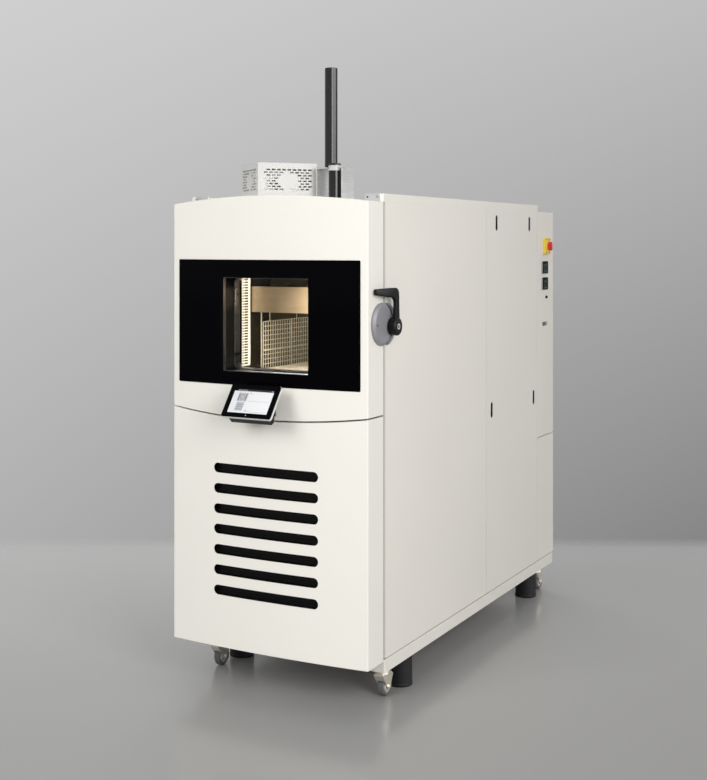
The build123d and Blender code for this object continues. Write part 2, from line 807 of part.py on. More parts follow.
with BuildPart() as door_seal:
    with BuildSketch(Plane.XZ.offset(-(door_plane_y - 1))):
        with Locations((0, (split_z + roof_z) / 2)):
            RectangleRounded(2 * (half_width - 7), roof_z - split_z - 12, 20)
            RectangleRounded(2 * (half_width - 30), roof_z - split_z - 58, 12, mode=Mode.SUBTRACT)
        with Locations((0, window_mid_z)):
            RectangleRounded(2 * (space_half + 34), window_high + 130, 30)
            RectangleRounded(2 * (space_half + 14), window_high + 90, 20, mode=Mode.SUBTRACT)
    extrude(amount=edge_gap - 1)
save(door_seal.part, "door_seal")

# Latch: grey disc on the door, crescent keeper on the casing, L-shaped lever
with BuildPart() as handle_disc:
    with BuildSketch(Plane.YZ.offset(half_width)):
        with Locations((disc_y, disc_z)):
            Circle(disc_radius)
    extrude(amount=disc_thick)
    chamfer(handle_disc.edges().group_by(Axis.X)[-1], 8, 12)
    with BuildSketch(Plane.YZ.offset(half_width)):
        with Locations((disc_y + disc_radius, disc_z)):
            Rectangle(2 * (disc_radius + disc_y - door_back_y), 2 * disc_radius)
    extrude(amount=1, mode=Mode.SUBTRACT)
    with BuildSketch(Plane.YZ.offset(half_width + disc_thick)):
        with Locations((disc_y - 54, disc_z - 2)):
            Circle(4)
    extrude(amount=-3, mode=Mode.SUBTRACT)
save(handle_disc.part, "handle_disc")

with BuildPart() as latch_keeper:
    with BuildSketch(Plane.YZ.offset(half_width)):
        with Locations((keeper_y, disc_z)):
            Circle(disc_radius)
        with Locations((disc_y, disc_z)):
            Circle(disc_radius + 1.5, mode=Mode.SUBTRACT)
        with Locations((door_plane_y - 100 + 6, disc_z)):
            Rectangle(200, 200, mode=Mode.SUBTRACT)
    extrude(amount=disc_thick - 3)
save(latch_keeper.part, "latch_keeper")

hub_x = half_width + disc_thick + 0.4
grip_tip_x = 446
grip_tip_thick = 15
with BuildPart() as lever_handle:
    with BuildSketch(Plane.YZ.offset(hub_x)):
        with Locations((lever_y, lever_z)):
            Circle(hub_radius)
    extrude(amount=lever_x[0] - hub_x)
    with BuildSketch(Plane.YZ.offset(lever_x[0])):
        with Locations((lever_y, lever_z)):
            Circle(hub_radius)
    extrude(amount=lever_x[1] - lever_x[0], taper=12)
    grip_z = lever_z + lever_rise
    back_y = lever_y + arm_wide[1] / 2
    with BuildSketch(Plane.YZ.offset(lever_x[0])):
        with BuildLine():
            Polyline(
                (lever_y - arm_wide[0] / 2, lever_z),
                (lever_y + arm_wide[0] / 2, lever_z),
                (back_y, grip_z + grip_high[0] / 2),
                (back_y - arm_wide[1], grip_z + grip_high[0] / 2),
                close=True,
            )
        make_face()
    extrude(amount=lever_x[1] - lever_x[0] - 3)
    with BuildSketch(Plane.XZ.offset(-back_y)):
        with Locations((sum(lever_x) / 2 - 1.5, grip_z)):
            RectangleRounded(lever_x[1] - lever_x[0] - 3, grip_high[0], 5)
    with BuildSketch(Plane.XZ.offset(-(lever_y - grip_reach))):
        with Locations((grip_tip_x + grip_tip_thick / 2, grip_z + 3)):
            RectangleRounded(grip_tip_thick, grip_high[1], 5)
    loft()
save(lever_handle.part, "lever_handle")

# Door hinges on the left: three barrels and leaves on each side of the joint
hinge_half = 26
with BuildPart() as cabinet_hinges:
    for mid_z in hinge_rows:
        with BuildSketch(Plane.XY.offset(mid_z - hinge_half)):
            with Locations((hinge_x, door_plane_y)):
                Circle(hinge_radius)
            with Locations((hinge_x + 7, door_plane_y + 24)):
                Rectangle(4, 48)
        extrude(amount=hinge_half - 0.5)
        with BuildSketch(Plane.XY.offset(mid_z - 0.5)):
            with Locations((hinge_x, door_plane_y)):
                Circle(pin_radius)
        extrude(amount=hinge_half - 2)
save(cabinet_hinges.part, "cabinet_hinges")

with BuildPart() as door_hinges:
    for mid_z in hinge_rows:
        with BuildSketch(Plane.XY.offset(mid_z)):
            with Locations((hinge_x, door_plane_y)):
                Circle(hinge_radius)
            with Locations((hinge_x + 7, door_plane_y - 29)):
                Rectangle(4, 58)
            with Locations((hinge_x, door_plane_y)):
                Circle(pin_radius + pin_play, mode=Mode.SUBTRACT)
        extrude(amount=hinge_half)
save(door_hinges.part, "door_hinges")

# Touch panel: black glass in a pale tray, on a black wedge that stands on the door
tilt_x = Vector(1, 0, 0)
panel_up = Vector(0, panel_high[0] - panel_low[0], panel_high[1] - panel_low[1]).normalized()
panel_normal = tilt_x.cross(panel_up)
panel_mid = (0, (panel_low[0] + panel_high[0]) / 2, (panel_low[1] + panel_high[1]) / 2)
panel_plane = Plane(origin=panel_mid, x_dir=tilt_x, z_dir=panel_normal)
with BuildPart() as display_glass:
    with BuildSketch(panel_plane):
        RectangleRounded(panel_width, panel_rise, 7)
    extrude(amount=-panel_glass)
save(display_glass.part, "display_glass")

with BuildPart() as display_housing:
    with BuildSketch(panel_plane.offset(-panel_glass)):
        RectangleRounded(panel_width + 3, panel_rise + 3, 8.5)
    extrude(amount=-panel_body)
    fillet(display_housing.edges().group_by(Axis((0, 0, 0), tuple(panel_normal)))[0], 4)
save(display_housing.part, "display_housing")


def behind_panel(along, back):
    """A point in the side view, along the panel from its bottom edge and behind its face."""
    point = Vector(0, *panel_low) + panel_up * along - panel_normal * back
    return (point.Y, point.Z)


panel_back = panel_glass + panel_body
wedge_half = 88
with BuildPart() as display_bracket:
    with BuildSketch(Plane.YZ.offset(-wedge_half)):
        with BuildLine():
            Polyline(
                behind_panel(6, panel_back),
                behind_panel(90, panel_back),
                behind_panel(76, panel_back + 22),
                (door_plane_y - 226, 1068),
                (door_plane_y - 242, 1062),
                close=True,
            )
        make_face()
    extrude(amount=2 * wedge_half)
    with BuildSketch(Plane.YZ.offset(-52)):
        with BuildLine():
            Polyline(
                (door_plane_y - 200, 1120),
                (door_plane_y - 196, 1080),
                (door_plane_y - 130, 1084),
                (door_plane_y - 130, 1160),
                behind_panel(100, panel_back + 10),
                close=True,
            )
        make_face()
    extrude(amount=104)
    add(bowed_block(0, door_back_y, split_z, -split_sag, roof_z, top_rise), mode=Mode.SUBTRACT)
save(display_bracket.part, "display_bracket")

# Main switch, limit controllers, port and sockets on the right rear strip
with BuildPart() as switch_housing:
    with BuildSketch(Plane.YZ.offset(half_width)):
        with Locations((strip_y, switch_z)):
            RectangleRounded(70, 80, 7)
    extrude(amount=14)
    with BuildSketch(Plane.YZ.offset(half_width + 14)):
        with Locations((strip_y, switch_z)):
            Circle(29)
    extrude(amount=5)
save(switch_housing.part, "switch_housing")

with BuildPart() as switch_knob:
    with BuildSketch(Plane.YZ.offset(half_width + 19.3)):
        with Locations((strip_y, switch_z)):
            Circle(22)
    extrude(amount=8)
    with BuildSketch(Plane.YZ.offset(half_width + 27.3)):
        with Locations((strip_y, switch_z)):
            SlotOverall(42, 13, rotation=90)
    extrude(amount=9)
save(switch_knob.part, "switch_knob")

with BuildPart() as rear_instruments:
    with BuildSketch(Plane.YZ.offset(half_width)):
        with Locations(*[(strip_y - 20, z) for z in controller_z]):
            RectangleRounded(72, 57, 4)
    extrude(amount=8)
    with BuildSketch(Plane.YZ.offset(half_width)):
        with Locations((strip_y + 8, port_z)):
            Circle(12)
        with Locations(*[(strip_y + dy, socket_z) for dy in (-48, -9, 30)]):
            RectangleRounded(18, 26, 3)
    extrude(amount=5)
save(rear_instruments.part, "rear_instruments")

# Levelling feet and swivel casters
with BuildPart() as levelling_feet:
    with BuildSketch(Plane.XY):
        for foot_y in foot_rows:
            with Locations((-foot_x, foot_y), (foot_x, foot_y)):
                Circle(foot_radius)
    extrude(amount=skirt_z)
    chamfer(levelling_feet.edges().group_by(Axis.Z)[0], 4)
save(levelling_feet.part, "levelling_feet")

hood_z = 92
cheek = 4


def caster_fork(x, y):
    """A swivel head, a bent hood and two cheeks that hold the axle."""
    side_face = Plane.YZ.offset(x)
    axle_y = y + caster_trail
    outer = wheel_width / 2 + 2 + cheek
    with BuildPart() as fork:
        with BuildSketch(Plane.XY.offset(hood_z)):
            with Locations((x, y)):
                Circle(30)
        extrude(amount=skirt_z - hood_z - 0.5)
        with BuildSketch(side_face):
            with BuildLine():
                Polyline((y - 30, hood_z - 6), (y - 30, hood_z), (y + 40, hood_z), (y + 56, hood_z - 14))
                Polyline((y + 56, hood_z - 14), (axle_y + 12, wheel_radius), (axle_y + 8, wheel_radius - 10))
                Polyline((axle_y + 8, wheel_radius - 10), (axle_y - 8, wheel_radius - 10))
                Polyline((axle_y - 8, wheel_radius - 10), (y - 30, hood_z - 6))
            make_face()
        extrude(amount=outer, both=True)
        with BuildSketch(side_face):
            with Locations((axle_y, wheel_radius)):
                Circle(wheel_radius + 6)
            with Locations((axle_y, 0)):
                Rectangle(120, 2 * wheel_radius - 14)
        extrude(amount=outer - cheek, both=True, mode=Mode.SUBTRACT)
        with BuildSketch(side_face):
            with Locations((axle_y, wheel_radius)):
                Circle(axle_radius)
        extrude(amount=outer, both=True)
    return fork.part


def caster_wheel(x, axle_y):
    """A wheel with a crowned tread, a dished side and the bore for its axle."""
    with BuildPart() as wheel:
        with BuildSketch(Plane.YZ.offset(x)):
            with Locations((axle_y, wheel_radius)):
                Circle(wheel_radius)
        extrude(amount=wheel_width / 2, both=True)
        chamfer(wheel.edges().filter_by(GeomType.CIRCLE), 4)
        for side in (-1, 1):
            with BuildSketch(Plane.YZ.offset(x + side * wheel_width / 2)):
                with Locations((axle_y, wheel_radius)):
                    Circle(wheel_radius - 10)
                    Circle(axle_radius + 6, mode=Mode.SUBTRACT)
            extrude(amount=-side * 6, mode=Mode.SUBTRACT)
        with BuildSketch(Plane.YZ.offset(x)):
            with Locations((axle_y, wheel_radius)):
                Circle(axle_radius + pin_play)
        extrude(amount=wheel_width, both=True, mode=Mode.SUBTRACT)
    return wheel.part


for row, caster_y in zip(("front", "rear"), caster_rows):
    for side, word in ((-1, "left"), (1, "right")):
        save(caster_fork(side * caster_x, caster_y), f"caster_fork_{row}_{word}")
        save(caster_wheel(side * caster_x, caster_y + caster_trail), f"caster_wheel_{row}_{word}")
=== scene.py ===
"""Looks of an environmental test chamber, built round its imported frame. Metres, +Z up."""

import json
import logging
import math
from contextlib import contextmanager
from dataclasses import dataclass
from enum import Enum
from typing import Callable, Iterator, Sequence

import bmesh
import bpy
from mathutils import Matrix, Vector

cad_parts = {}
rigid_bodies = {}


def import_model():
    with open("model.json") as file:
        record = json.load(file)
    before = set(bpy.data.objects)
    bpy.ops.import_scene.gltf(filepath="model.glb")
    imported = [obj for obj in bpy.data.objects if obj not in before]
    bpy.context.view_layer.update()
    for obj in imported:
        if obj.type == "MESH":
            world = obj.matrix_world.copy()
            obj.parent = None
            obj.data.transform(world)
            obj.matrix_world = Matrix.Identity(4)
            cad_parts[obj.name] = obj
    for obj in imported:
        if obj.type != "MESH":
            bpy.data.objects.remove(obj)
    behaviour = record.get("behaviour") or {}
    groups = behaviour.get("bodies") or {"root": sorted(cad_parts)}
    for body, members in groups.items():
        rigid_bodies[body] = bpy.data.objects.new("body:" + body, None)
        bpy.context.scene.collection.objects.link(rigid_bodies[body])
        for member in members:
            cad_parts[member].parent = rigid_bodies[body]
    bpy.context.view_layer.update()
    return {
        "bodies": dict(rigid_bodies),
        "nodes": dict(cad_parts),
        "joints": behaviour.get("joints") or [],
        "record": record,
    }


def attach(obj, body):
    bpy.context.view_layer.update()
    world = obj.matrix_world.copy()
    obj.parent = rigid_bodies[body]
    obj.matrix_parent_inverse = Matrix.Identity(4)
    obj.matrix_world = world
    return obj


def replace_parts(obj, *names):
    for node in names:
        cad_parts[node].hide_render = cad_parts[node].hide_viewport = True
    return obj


Colour = tuple[float, float, float]
Point = tuple[float, float, float]
Span = tuple[float, float]
Area = tuple[float, float, float, float]
Piece = bpy.types.Object
Socket = bpy.types.NodeSocket
log = logging.getLogger("chamber")
# The casing's front edge, half its width, and its roof.
DOOR_PLANE = -0.795
SIDE = 0.435
ROOF = 1.889
# Nearly all values of a noise texture lie between these.
MIDDLE: Span = (0.3, 0.7)


def tone(red: int, green: int, blue: int) -> Colour:
    """Gives the linear colour that shows as these 8-bit values.

    Args:
        red, green, blue: the colour as a screen shows it, 0 to 255.

    Returns:
        The colour in linear light.
    """
    parts = [value / 255 for value in (red, green, blue)]
    return tuple(p / 12.92 if p <= 0.04045 else ((p + 0.055) / 1.055) ** 2.4 for p in parts)


def scaled(colour: Colour, factor: float) -> Colour:
    """Gives a colour that is darker or lighter by a factor, at most 1."""
    return tuple(min(1.0, part * factor) for part in colour)


class Along(Enum):
    """A direction of the frame, with the turn that lays a cylinder along it."""

    X = (0.0, math.pi / 2, 0.0)
    Y = (math.pi / 2, 0.0, 0.0)
    Z = (0.0, 0.0, 0.0)

    @property
    def way(self) -> Vector:
        """Gives the direction as a vector."""
        return Vector((self is Along.X, self is Along.Y, self is Along.Z))


class Wiring:
    """Places nodes in one tree and joins them."""

    def __init__(self, tree: bpy.types.NodeTree) -> None:
        """Starts with an empty tree."""
        self.tree = tree
        tree.nodes.clear()

    def set(self, socket: Socket, value: object) -> None:
        """Joins a socket to an input, or sets the input's own value."""
        if isinstance(value, Socket):
            self.tree.links.new(value, socket)
        else:
            socket.default_value = value

    def place(self, kind: str, inputs: dict | None = None, **settings: object) -> bpy.types.Node:
        """Adds a node.

        Args:
            kind: the node's type.
            inputs: values or sockets for its inputs, by name or number.
            settings: its own properties.

        Returns:
            The new node.
        """
        node = self.tree.nodes.new(kind)
        for name, value in settings.items():
            setattr(node, name, value)
        for key, value in (inputs or {}).items():
            self.set(node.inputs[key], value)
        return node

    def calc(self, operation: str, *values: object) -> Socket:
        """Gives the result of a Math node on these values or sockets."""
        return self.place("ShaderNodeMath", dict(enumerate(values)), operation=operation).outputs[0]

    def dot(self, first: object, second: object) -> Socket:
        """Gives the dot product of two vectors."""
        return self.place("ShaderNodeVectorMath", {0: first, 1: second}, operation="DOT_PRODUCT").outputs["Value"]

    def noise(self, place: object, scale: object, detail: float) -> Socket:
        """Gives a noise texture's value."""
        return self.place("ShaderNodeTexNoise", {"Vector": place, "Scale": scale, "Detail": detail}).outputs[0]

    def mix(self, first: Socket, second: Socket, share: float) -> Socket:
        """Gives share of the first value and the rest of the second."""
        return self.calc("ADD", self.calc("MULTIPLY", first, share), self.calc("MULTIPLY", second, 1 - share))

    def effect(self, tree: bpy.types.NodeTree, *values: object) -> bpy.types.Node:
        """Adds a group node with these values or sockets."""
        return self.place("ShaderNodeGroup", dict(enumerate(values)), node_tree=tree)

    def blend(self, share: object, first: object, second: object) -> Socket:
        """Gives a colour that goes from first to second with share."""
        node = self.place("ShaderNodeMix", data_type="RGBA")
        for key, value in ((0, share), (6, first), (7, second)):
            self.set(node.inputs[key], (*value, 1) if isinstance(value, tuple) else value)
        return node.outputs[2]

    def spread(self, value: object, low: float, high: float, start: float = 0, end: float = 1) -> Socket:
        """Gives value, which runs from start to end, spread from low to high."""
        inputs = {"Value": value, "From Min": start, "From Max": end, "To Min": low, "To Max": high}
        return self.place("ShaderNodeMapRange", inputs).outputs["Result"]


class Effects:
    """The shared surface effects, each a node group that is built once."""

    made: dict[str, bpy.types.NodeTree] = {}

    @classmethod
    def group(cls, name: str, takes: Sequence[tuple[str, str]], gives: Sequence[str],
              build: Callable[[Wiring, Sequence[Socket]], Sequence[Socket]]) -> bpy.types.NodeTree:
        """Builds a group the first time it is asked for.

        Args:
            name: the group's name.
            takes: the names and kinds of its inputs.
            gives: the names of its outputs, all values.
            build: places the nodes and returns one socket for each output.

        Returns:
            The node group.
        """
        if name not in cls.made:
            tree = bpy.data.node_groups.new(name, "ShaderNodeTree")
            for label, kind in takes:
                tree.interface.new_socket(label, in_out="INPUT", socket_type=f"NodeSocket{kind}")
            for label in gives:
                tree.interface.new_socket(label, in_out="OUTPUT", socket_type="NodeSocketFloat")
            wiring = Wiring(tree)
            entry = wiring.place("NodeGroupInput")
            wiring.place("NodeGroupOutput", dict(enumerate(build(wiring, entry.outputs))))
            cls.made[name] = tree
        return cls.made[name]

    @classmethod
    def grain(cls) -> bpy.types.NodeTree:
        """Gives fine and coarse mottling and the relief of a coated or moulded surface."""

        def build(w: Wiring, entry: Sequence[Socket]) -> list[Socket]:
            fine, wide = w.noise(entry[0], entry[1], 3.0), w.noise(entry[0], 3.1, 5.0)
            return [w.mix(fine, wide, 0.35), fine]

        return cls.group("surface_grain", [("Vector", "Vector"), ("Scale", "Float")], ["Mottle", "Relief"], build)

    @classmethod
    def brushing(cls) -> bpy.types.NodeTree:
        """Gives long fine lines, as on brushed or rolled metal."""

        def build(w: Wiring, entry: Sequence[Socket]) -> list[Socket]:
            drawn = w.place("ShaderNodeVectorMath", {0: entry[0], 1: entry[1]}, operation="MULTIPLY").outputs[0]
            lines, cloud = w.noise(drawn, 1.0, 4.0), w.noise(entry[0], 9.0, 3.0)
            return [w.mix(lines, cloud, 0.7), lines]

        return cls.group("brushed_lines", [("Vector", "Vector"), ("Stretch", "Vector")], ["Shade", "Relief"], build)

    @classmethod
    def edges(cls) -> bpy.types.NodeTree:
        """Gives a mask of the worn outer edges."""

        def build(w: Wiring, entry: Sequence[Socket]) -> list[Socket]:
            soft = w.place("ShaderNodeBevel", {"Radius": entry[1]}, samples=4).outputs[0]
            turn = w.dot(soft, w.place("ShaderNodeNewGeometry").outputs["Normal"])
            patchy = w.spread(w.noise(entry[0], 60.0, 4.0), 0.3, 1.0, 0.35, 0.6)
            return [w.calc("MULTIPLY", w.spread(turn, 1.0, 0.0, 0.8, 0.995), patchy)]

        return cls.group("edge_wear", [("Vector", "Vector"), ("Radius", "Float")], ["Mask"], build)

    @classmethod
    def dust(cls) -> bpy.types.NodeTree:
        """Gives a mask of thin dust on the faces that look up."""

        def build(w: Wiring, entry: Sequence[Socket]) -> list[Socket]:
            normal = w.place("ShaderNodeNewGeometry").outputs["Normal"]
            height = w.place("ShaderNodeSeparateXYZ", {0: normal}).outputs[2]
            specks = w.spread(w.noise(entry[0], 45.0, 6.0), 0.1, 0.9, 0.4, 0.7)
            return [w.calc("MULTIPLY", w.spread(height, 0.0, 1.0, 0.5, 1.0), specks)]

        return cls.group("settled_dust", [("Vector", "Vector")], ["Mask"], build)


@dataclass(frozen=True)
class Finish:
    """A coated or moulded surface with fine relief, mottling, soft edges, wear and dust."""

    name: str
    colour: Colour
    roughness: float = 0.45
    metallic: float = 0.0
    grain: float = 700.0
    mottle: float = 0.06
    relief: float = 0.05
    edge: float = 0.0012
    wear: float = 0.0
    dust: float = 0.0
    specular: float = 0.5

    def pattern(self, w: Wiring, place: Socket) -> Sequence[Socket]:
        """Places the surface's own pattern and gives its shade and relief."""
        return w.effect(Effects.grain(), place, self.grain).outputs

    def tint(self, w: Wiring, place: Socket, shade: Socket) -> Socket:
        """Gives the base colour with its mottling, worn edges and dust."""
        dark, light = scaled(self.colour, 1 - self.mottle), scaled(self.colour, 1 + self.mottle)
        colour = w.blend(w.spread(shade, 0.0, 1.0, *MIDDLE), dark, light)
        if self.wear:
            mask = w.effect(Effects.edges(), place, self.edge * 1.5).outputs[0]
            worn = tuple(min(1.0, 0.18 + part * 1.2) for part in self.colour)
            colour = w.blend(w.calc("MULTIPLY", mask, self.wear), colour, worn)
        if self.dust:
            mask = w.effect(Effects.dust(), place).outputs[0]
            colour = w.blend(w.calc("MULTIPLY", mask, self.dust), colour, tone(170, 168, 160))
        return colour

    def material(self) -> bpy.types.Material:
        """Builds the material once and gives it."""
        found = bpy.data.materials.get(self.name)
        if found:
            return found
        material = bpy.data.materials.new(self.name)
        material.use_nodes = True
        w = Wiring(material.node_tree)
        place = w.place("ShaderNodeTexCoord").outputs["Object"]
        shade, relief = self.pattern(w, place)
        soft = w.place("ShaderNodeBevel", {"Radius": self.edge}, samples=4).outputs[0]
        bump = w.place("ShaderNodeBump", {"Strength": self.relief, "Distance": 0.001, "Height": relief, "Normal": soft})
        roughness = w.spread(shade, self.roughness * 0.86, min(1.0, self.roughness * 1.16), *MIDDLE)
        inputs = {"Base Color": self.tint(w, place, shade), "Metallic": self.metallic, "Roughness": roughness,
                  "Normal": bump.outputs[0], "Specular IOR Level": self.specular}
        surface = w.place("ShaderNodeBsdfPrincipled", inputs)
        self.extra(w, surface, place, shade)
        w.place("ShaderNodeOutputMaterial", {"Surface": surface.outputs[0]})
        return material

    def extra(self, w: Wiring, surface: bpy.types.Node, place: Socket, shade: Socket) -> None:
        """Adds what only some finishes have; nothing here."""


@dataclass(frozen=True)
class DrawnMetal(Finish):
    """Metal with brushed or rolled lines along one direction."""

    metallic: float = 1.0
    stretch: Point = (8.0, 8.0, 900.0)

    def pattern(self, w: Wiring, place: Socket) -> Sequence[Socket]:
        """Places the drawn lines and gives their shade and relief."""
        return w.effect(Effects.brushing(), place, self.stretch).outputs


@dataclass(frozen=True)
class ClearGlass(Finish):
    """Thin clear glass with a faint tint and a trace of smears."""

    bending: float = 1.1

    def extra(self, w: Wiring, surface: bpy.types.Node, place: Socket, shade: Socket) -> None:
        """Makes the surface let light through, with faint reflections."""
        surface.inputs["Transmission Weight"].default_value = 1.0
        surface.inputs["IOR"].default_value = self.bending


@dataclass(frozen=True)
class StudioFloor(Finish):
    """A pale floor that fades into the backdrop behind the object, with painted shade towards the front and one side.
    """

    heading: float = 0.0
    end: Span = (1.5, 1.9)
    # How far painted shade darkens the floor towards the front and one side, and where it runs.
    near_painted_shade: float = 0.58
    near: Span = (-2.2, 1.3)
    side_painted_shade: float = 0.8
    side: Span = (-1.1, 1.3)

    def distance(self, w: Wiring, place: Socket, quarter: float) -> Socket:
        """Gives the distance along the heading, or across it after a quarter turn."""
        turn = math.radians(self.heading - quarter)
        return w.dot(place, (-math.sin(turn), math.cos(turn), 0.0))

    def tint(self, w: Wiring, place: Socket, shade: Socket) -> Socket:
        """Paints shade on the floor: darkens its tone towards the front and one side."""
        far = w.blend(w.spread(shade, 0.0, 1.0, *MIDDLE), scaled(self.colour, 1 - self.mottle), self.colour)
        ahead, aside = self.distance(w, place, 0.0), self.distance(w, place, 90.0)
        # Painted shade: the tone is darkened towards the front, then towards one side.
        both = w.blend(w.spread(ahead, 0.0, 1.0, *self.near), scaled(self.colour, self.near_painted_shade), far)
        dark = w.place("ShaderNodeVectorMath", {0: both, 1: (self.side_painted_shade,) * 3}, operation="MULTIPLY").outputs[0]
        return w.blend(w.spread(aside, 0.0, 1.0, *self.side), both, dark)

    def extra(self, w: Wiring, surface: bpy.types.Node, place: Socket, shade: Socket) -> None:
        """Lets the far part of the floor fade away."""
        w.set(surface.inputs["Alpha"], w.spread(self.distance(w, place, 0.0), 1.0, 0.0, *self.end))


@dataclass(frozen=True)
class Glow(Finish):
    """A surface that gives light, a little uneven as a backlight is."""

    strength: float = 1.0

    def extra(self, w: Wiring, surface: bpy.types.Node, place: Socket, shade: Socket) -> None:
        """Makes the surface give light."""
        colour = w.blend(w.spread(shade, 0.0, 1.0, *MIDDLE), scaled(self.colour, 0.94), self.colour)
        w.set(surface.inputs["Emission Color"], colour)
        surface.inputs["Emission Strength"].default_value = self.strength


def screen_tone(name: str, colour: Colour, strength: float, roughness: float = 0.14) -> Glow:
    """Gives the finish of one tone of a lit display."""
    return Glow(name, colour, roughness, grain=900, mottle=0.02, relief=0.0, edge=0.0002, strength=strength)


# Coated, moulded and printed surfaces.
WARM_WHITE = Finish("warm_white_powder_coat", tone(236, 234, 227), 0.42, grain=520, mottle=0.012, relief=0.045,
                    specular=0.4)
SIDE_WHITE = Finish("side_white_powder_coat", tone(230, 227, 220), 0.46, grain=480, mottle=0.014, dust=0.1,
                    specular=0.4)
FRAME_GREY = Finish("front_frame_grey", tone(158, 156, 151), 0.5, grain=480, mottle=0.03)
GUARD_WHITE = Finish("guard_pale_coat", tone(206, 206, 204), 0.5, grain=420, mottle=0.02, dust=0.15)
STRIP_WHITE = Finish("bright_air_strip", tone(246, 242, 232), 0.4, grain=300, mottle=0.03, relief=0.03)
DARK_METAL = Finish("dark_coated_metal", tone(38, 38, 39), 0.38, grain=380, mottle=0.12, wear=0.2, dust=0.1)
CAN_BLACK = Finish("compressor_black", tone(20, 20, 21), 0.32, grain=300, mottle=0.1, relief=0.08, dust=0.3)
BLACK_GLASS = Finish("black_printed_glass", tone(2, 2, 4), 0.07, grain=90, mottle=0.3, relief=0.003, edge=0.0008,
                     specular=0.05)
PANE = ClearGlass("window_glass", (0.76, 0.76, 0.74), 0.02, grain=8, mottle=0.015, relief=0.0, edge=0.0003)
BLACK_PLASTIC = Finish("black_moulded_plastic", tone(16, 16, 17), 0.4, grain=900, mottle=0.15, relief=0.1, wear=0.03,
                       specular=0.2)
SHADE_PLASTIC = Finish("louvre_plastic", tone(10, 10, 10), grain=600, mottle=0.15, relief=0.08, specular=0.2)
GREY_PLASTIC = Finish("latch_grey_plastic", tone(138, 138, 143), 0.36, grain=1100, mottle=0.05, relief=0.12, edge=0.003)
KEY_GREY = Finish("key_grey_plastic", tone(168, 170, 172), 0.4, grain=900, mottle=0.04, relief=0.08)
PALE_TRAY = Finish("pale_display_tray", tone(222, 222, 221), 0.32, grain=800, mottle=0.02, relief=0.03, edge=0.002)
WHITE_PLASTIC = Finish("white_collar_plastic", tone(192, 191, 190), 0.4, mottle=0.02, relief=0.04)
CAP_WHITE = Finish("lever_cap", tone(236, 236, 236), 0.3, grain=800, mottle=0.02, relief=0.03)
YELLOW = Finish("switch_yellow", tone(214, 178, 40), 0.36, grain=900, mottle=0.04, relief=0.08, edge=0.002)
RED = Finish("switch_red", tone(196, 40, 28), 0.34, grain=900, mottle=0.05, relief=0.07, edge=0.002)
RUBBER = Finish("foot_rubber", tone(18, 18, 19), 0.6, grain=520, mottle=0.2, relief=0.2, dust=0.12, specular=0.3)
SEAL = Finish("silicone_seal", tone(140, 138, 133), 0.55, grain=600, relief=0.1)
TYRE = Finish("caster_tyre", tone(92, 93, 96), 0.55, grain=640, mottle=0.1, relief=0.14, dust=0.35)
# Near black: painted shade as the sheet behind the air strips' slots, and print as the switch's marks.
SHADE_AND_PRINT_BLACK = Finish("painted_shade_and_print_black", tone(9, 9, 10), 0.6, grain=400, mottle=0.2, relief=0.1)

# Bare metals.
STEEL = DrawnMetal("brushed_stainless", (0.55, 0.54, 0.52), 0.24, mottle=0.12, relief=0.06, edge=0.0006)
DOOR_LINER = DrawnMetal("door_lining_steel", (0.6, 0.6, 0.59), 0.34, metallic=0.85, mottle=0.12, relief=0.06,
                        edge=0.0008)
# The chamber's stainless liner and wall panels are darkened far below bare steel: painted shade for the dim test space.
LINER_PAINTED_SHADE = DrawnMetal("chamber_stainless_painted_shade", (0.085, 0.08, 0.066), 0.22, mottle=0.3, edge=0.0006, stretch=(900.0, 7.0, 7.0))
WALL_PANEL_PAINTED_SHADE = DrawnMetal("chamber_wall_panel_painted_shade", (0.16, 0.145, 0.09), mottle=0.16, relief=0.06, stretch=(7.0, 7.0, 600.0))
HEADER = DrawnMetal("header_steel", (0.36, 0.28, 0.19), 0.36, metallic=0.5, mottle=0.16, edge=0.0006,
                    stretch=(9.0, 9.0, 500.0))
WIRE = DrawnMetal("welded_wire", (0.72, 0.66, 0.54), 0.4, metallic=0.3, mottle=0.15, relief=0.04, edge=0.0003,
                  stretch=(60.0, 60.0, 60.0))
JAMB = DrawnMetal("dark_window_jamb", (0.04, 0.042, 0.048), 0.2, mottle=0.4, relief=0.12, edge=0.0004,
                  stretch=(6.0, 6.0, 40.0))
POLISHED = DrawnMetal("polished_edge", (0.78, 0.79, 0.8), 0.22, mottle=0.1, relief=0.03, edge=0.0005,
                      stretch=(300.0, 300.0, 9.0))
# Dark steel of the window frames, darkened as painted shade on the trim's left and top; the polished sill is its lit
# copy.
FRAME_STEEL_PAINTED_SHADE = DrawnMetal("window_frame_steel_painted_shade", (0.16, 0.165, 0.18), 0.3, mottle=0.25, relief=0.06, edge=0.001,
                         stretch=(9.0, 9.0, 60.0))
SATIN_NICKEL = DrawnMetal("satin_nickel", (0.78, 0.74, 0.64), 0.32, metallic=0.75, mottle=0.12, relief=0.08)
ZINC = DrawnMetal("galvanised_sheet", (0.72, 0.73, 0.73), 0.38, metallic=0.8, specular=0.4, mottle=0.16, relief=0.06,
                  stretch=(14.0, 14.0, 420.0))
LIFT_BLACK = DrawnMetal("lift_column_black", tone(30, 30, 31), 0.15, metallic=0.0, mottle=0.1, relief=0.0, edge=0.0002,
                        specular=0.4, stretch=(160.0, 160.0, 3.0))
FOIL_BOARD = DrawnMetal("foil_faced_insulation", tone(150, 149, 145), 0.42, metallic=0.5, mottle=0.14, relief=0.2,
                        stretch=(40.0, 40.0, 40.0))
FIN_METAL = DrawnMetal("fin_aluminium", (0.62, 0.63, 0.64), 0.34, mottle=0.12, relief=0.06,
                       stretch=(300.0, 300.0, 12.0))

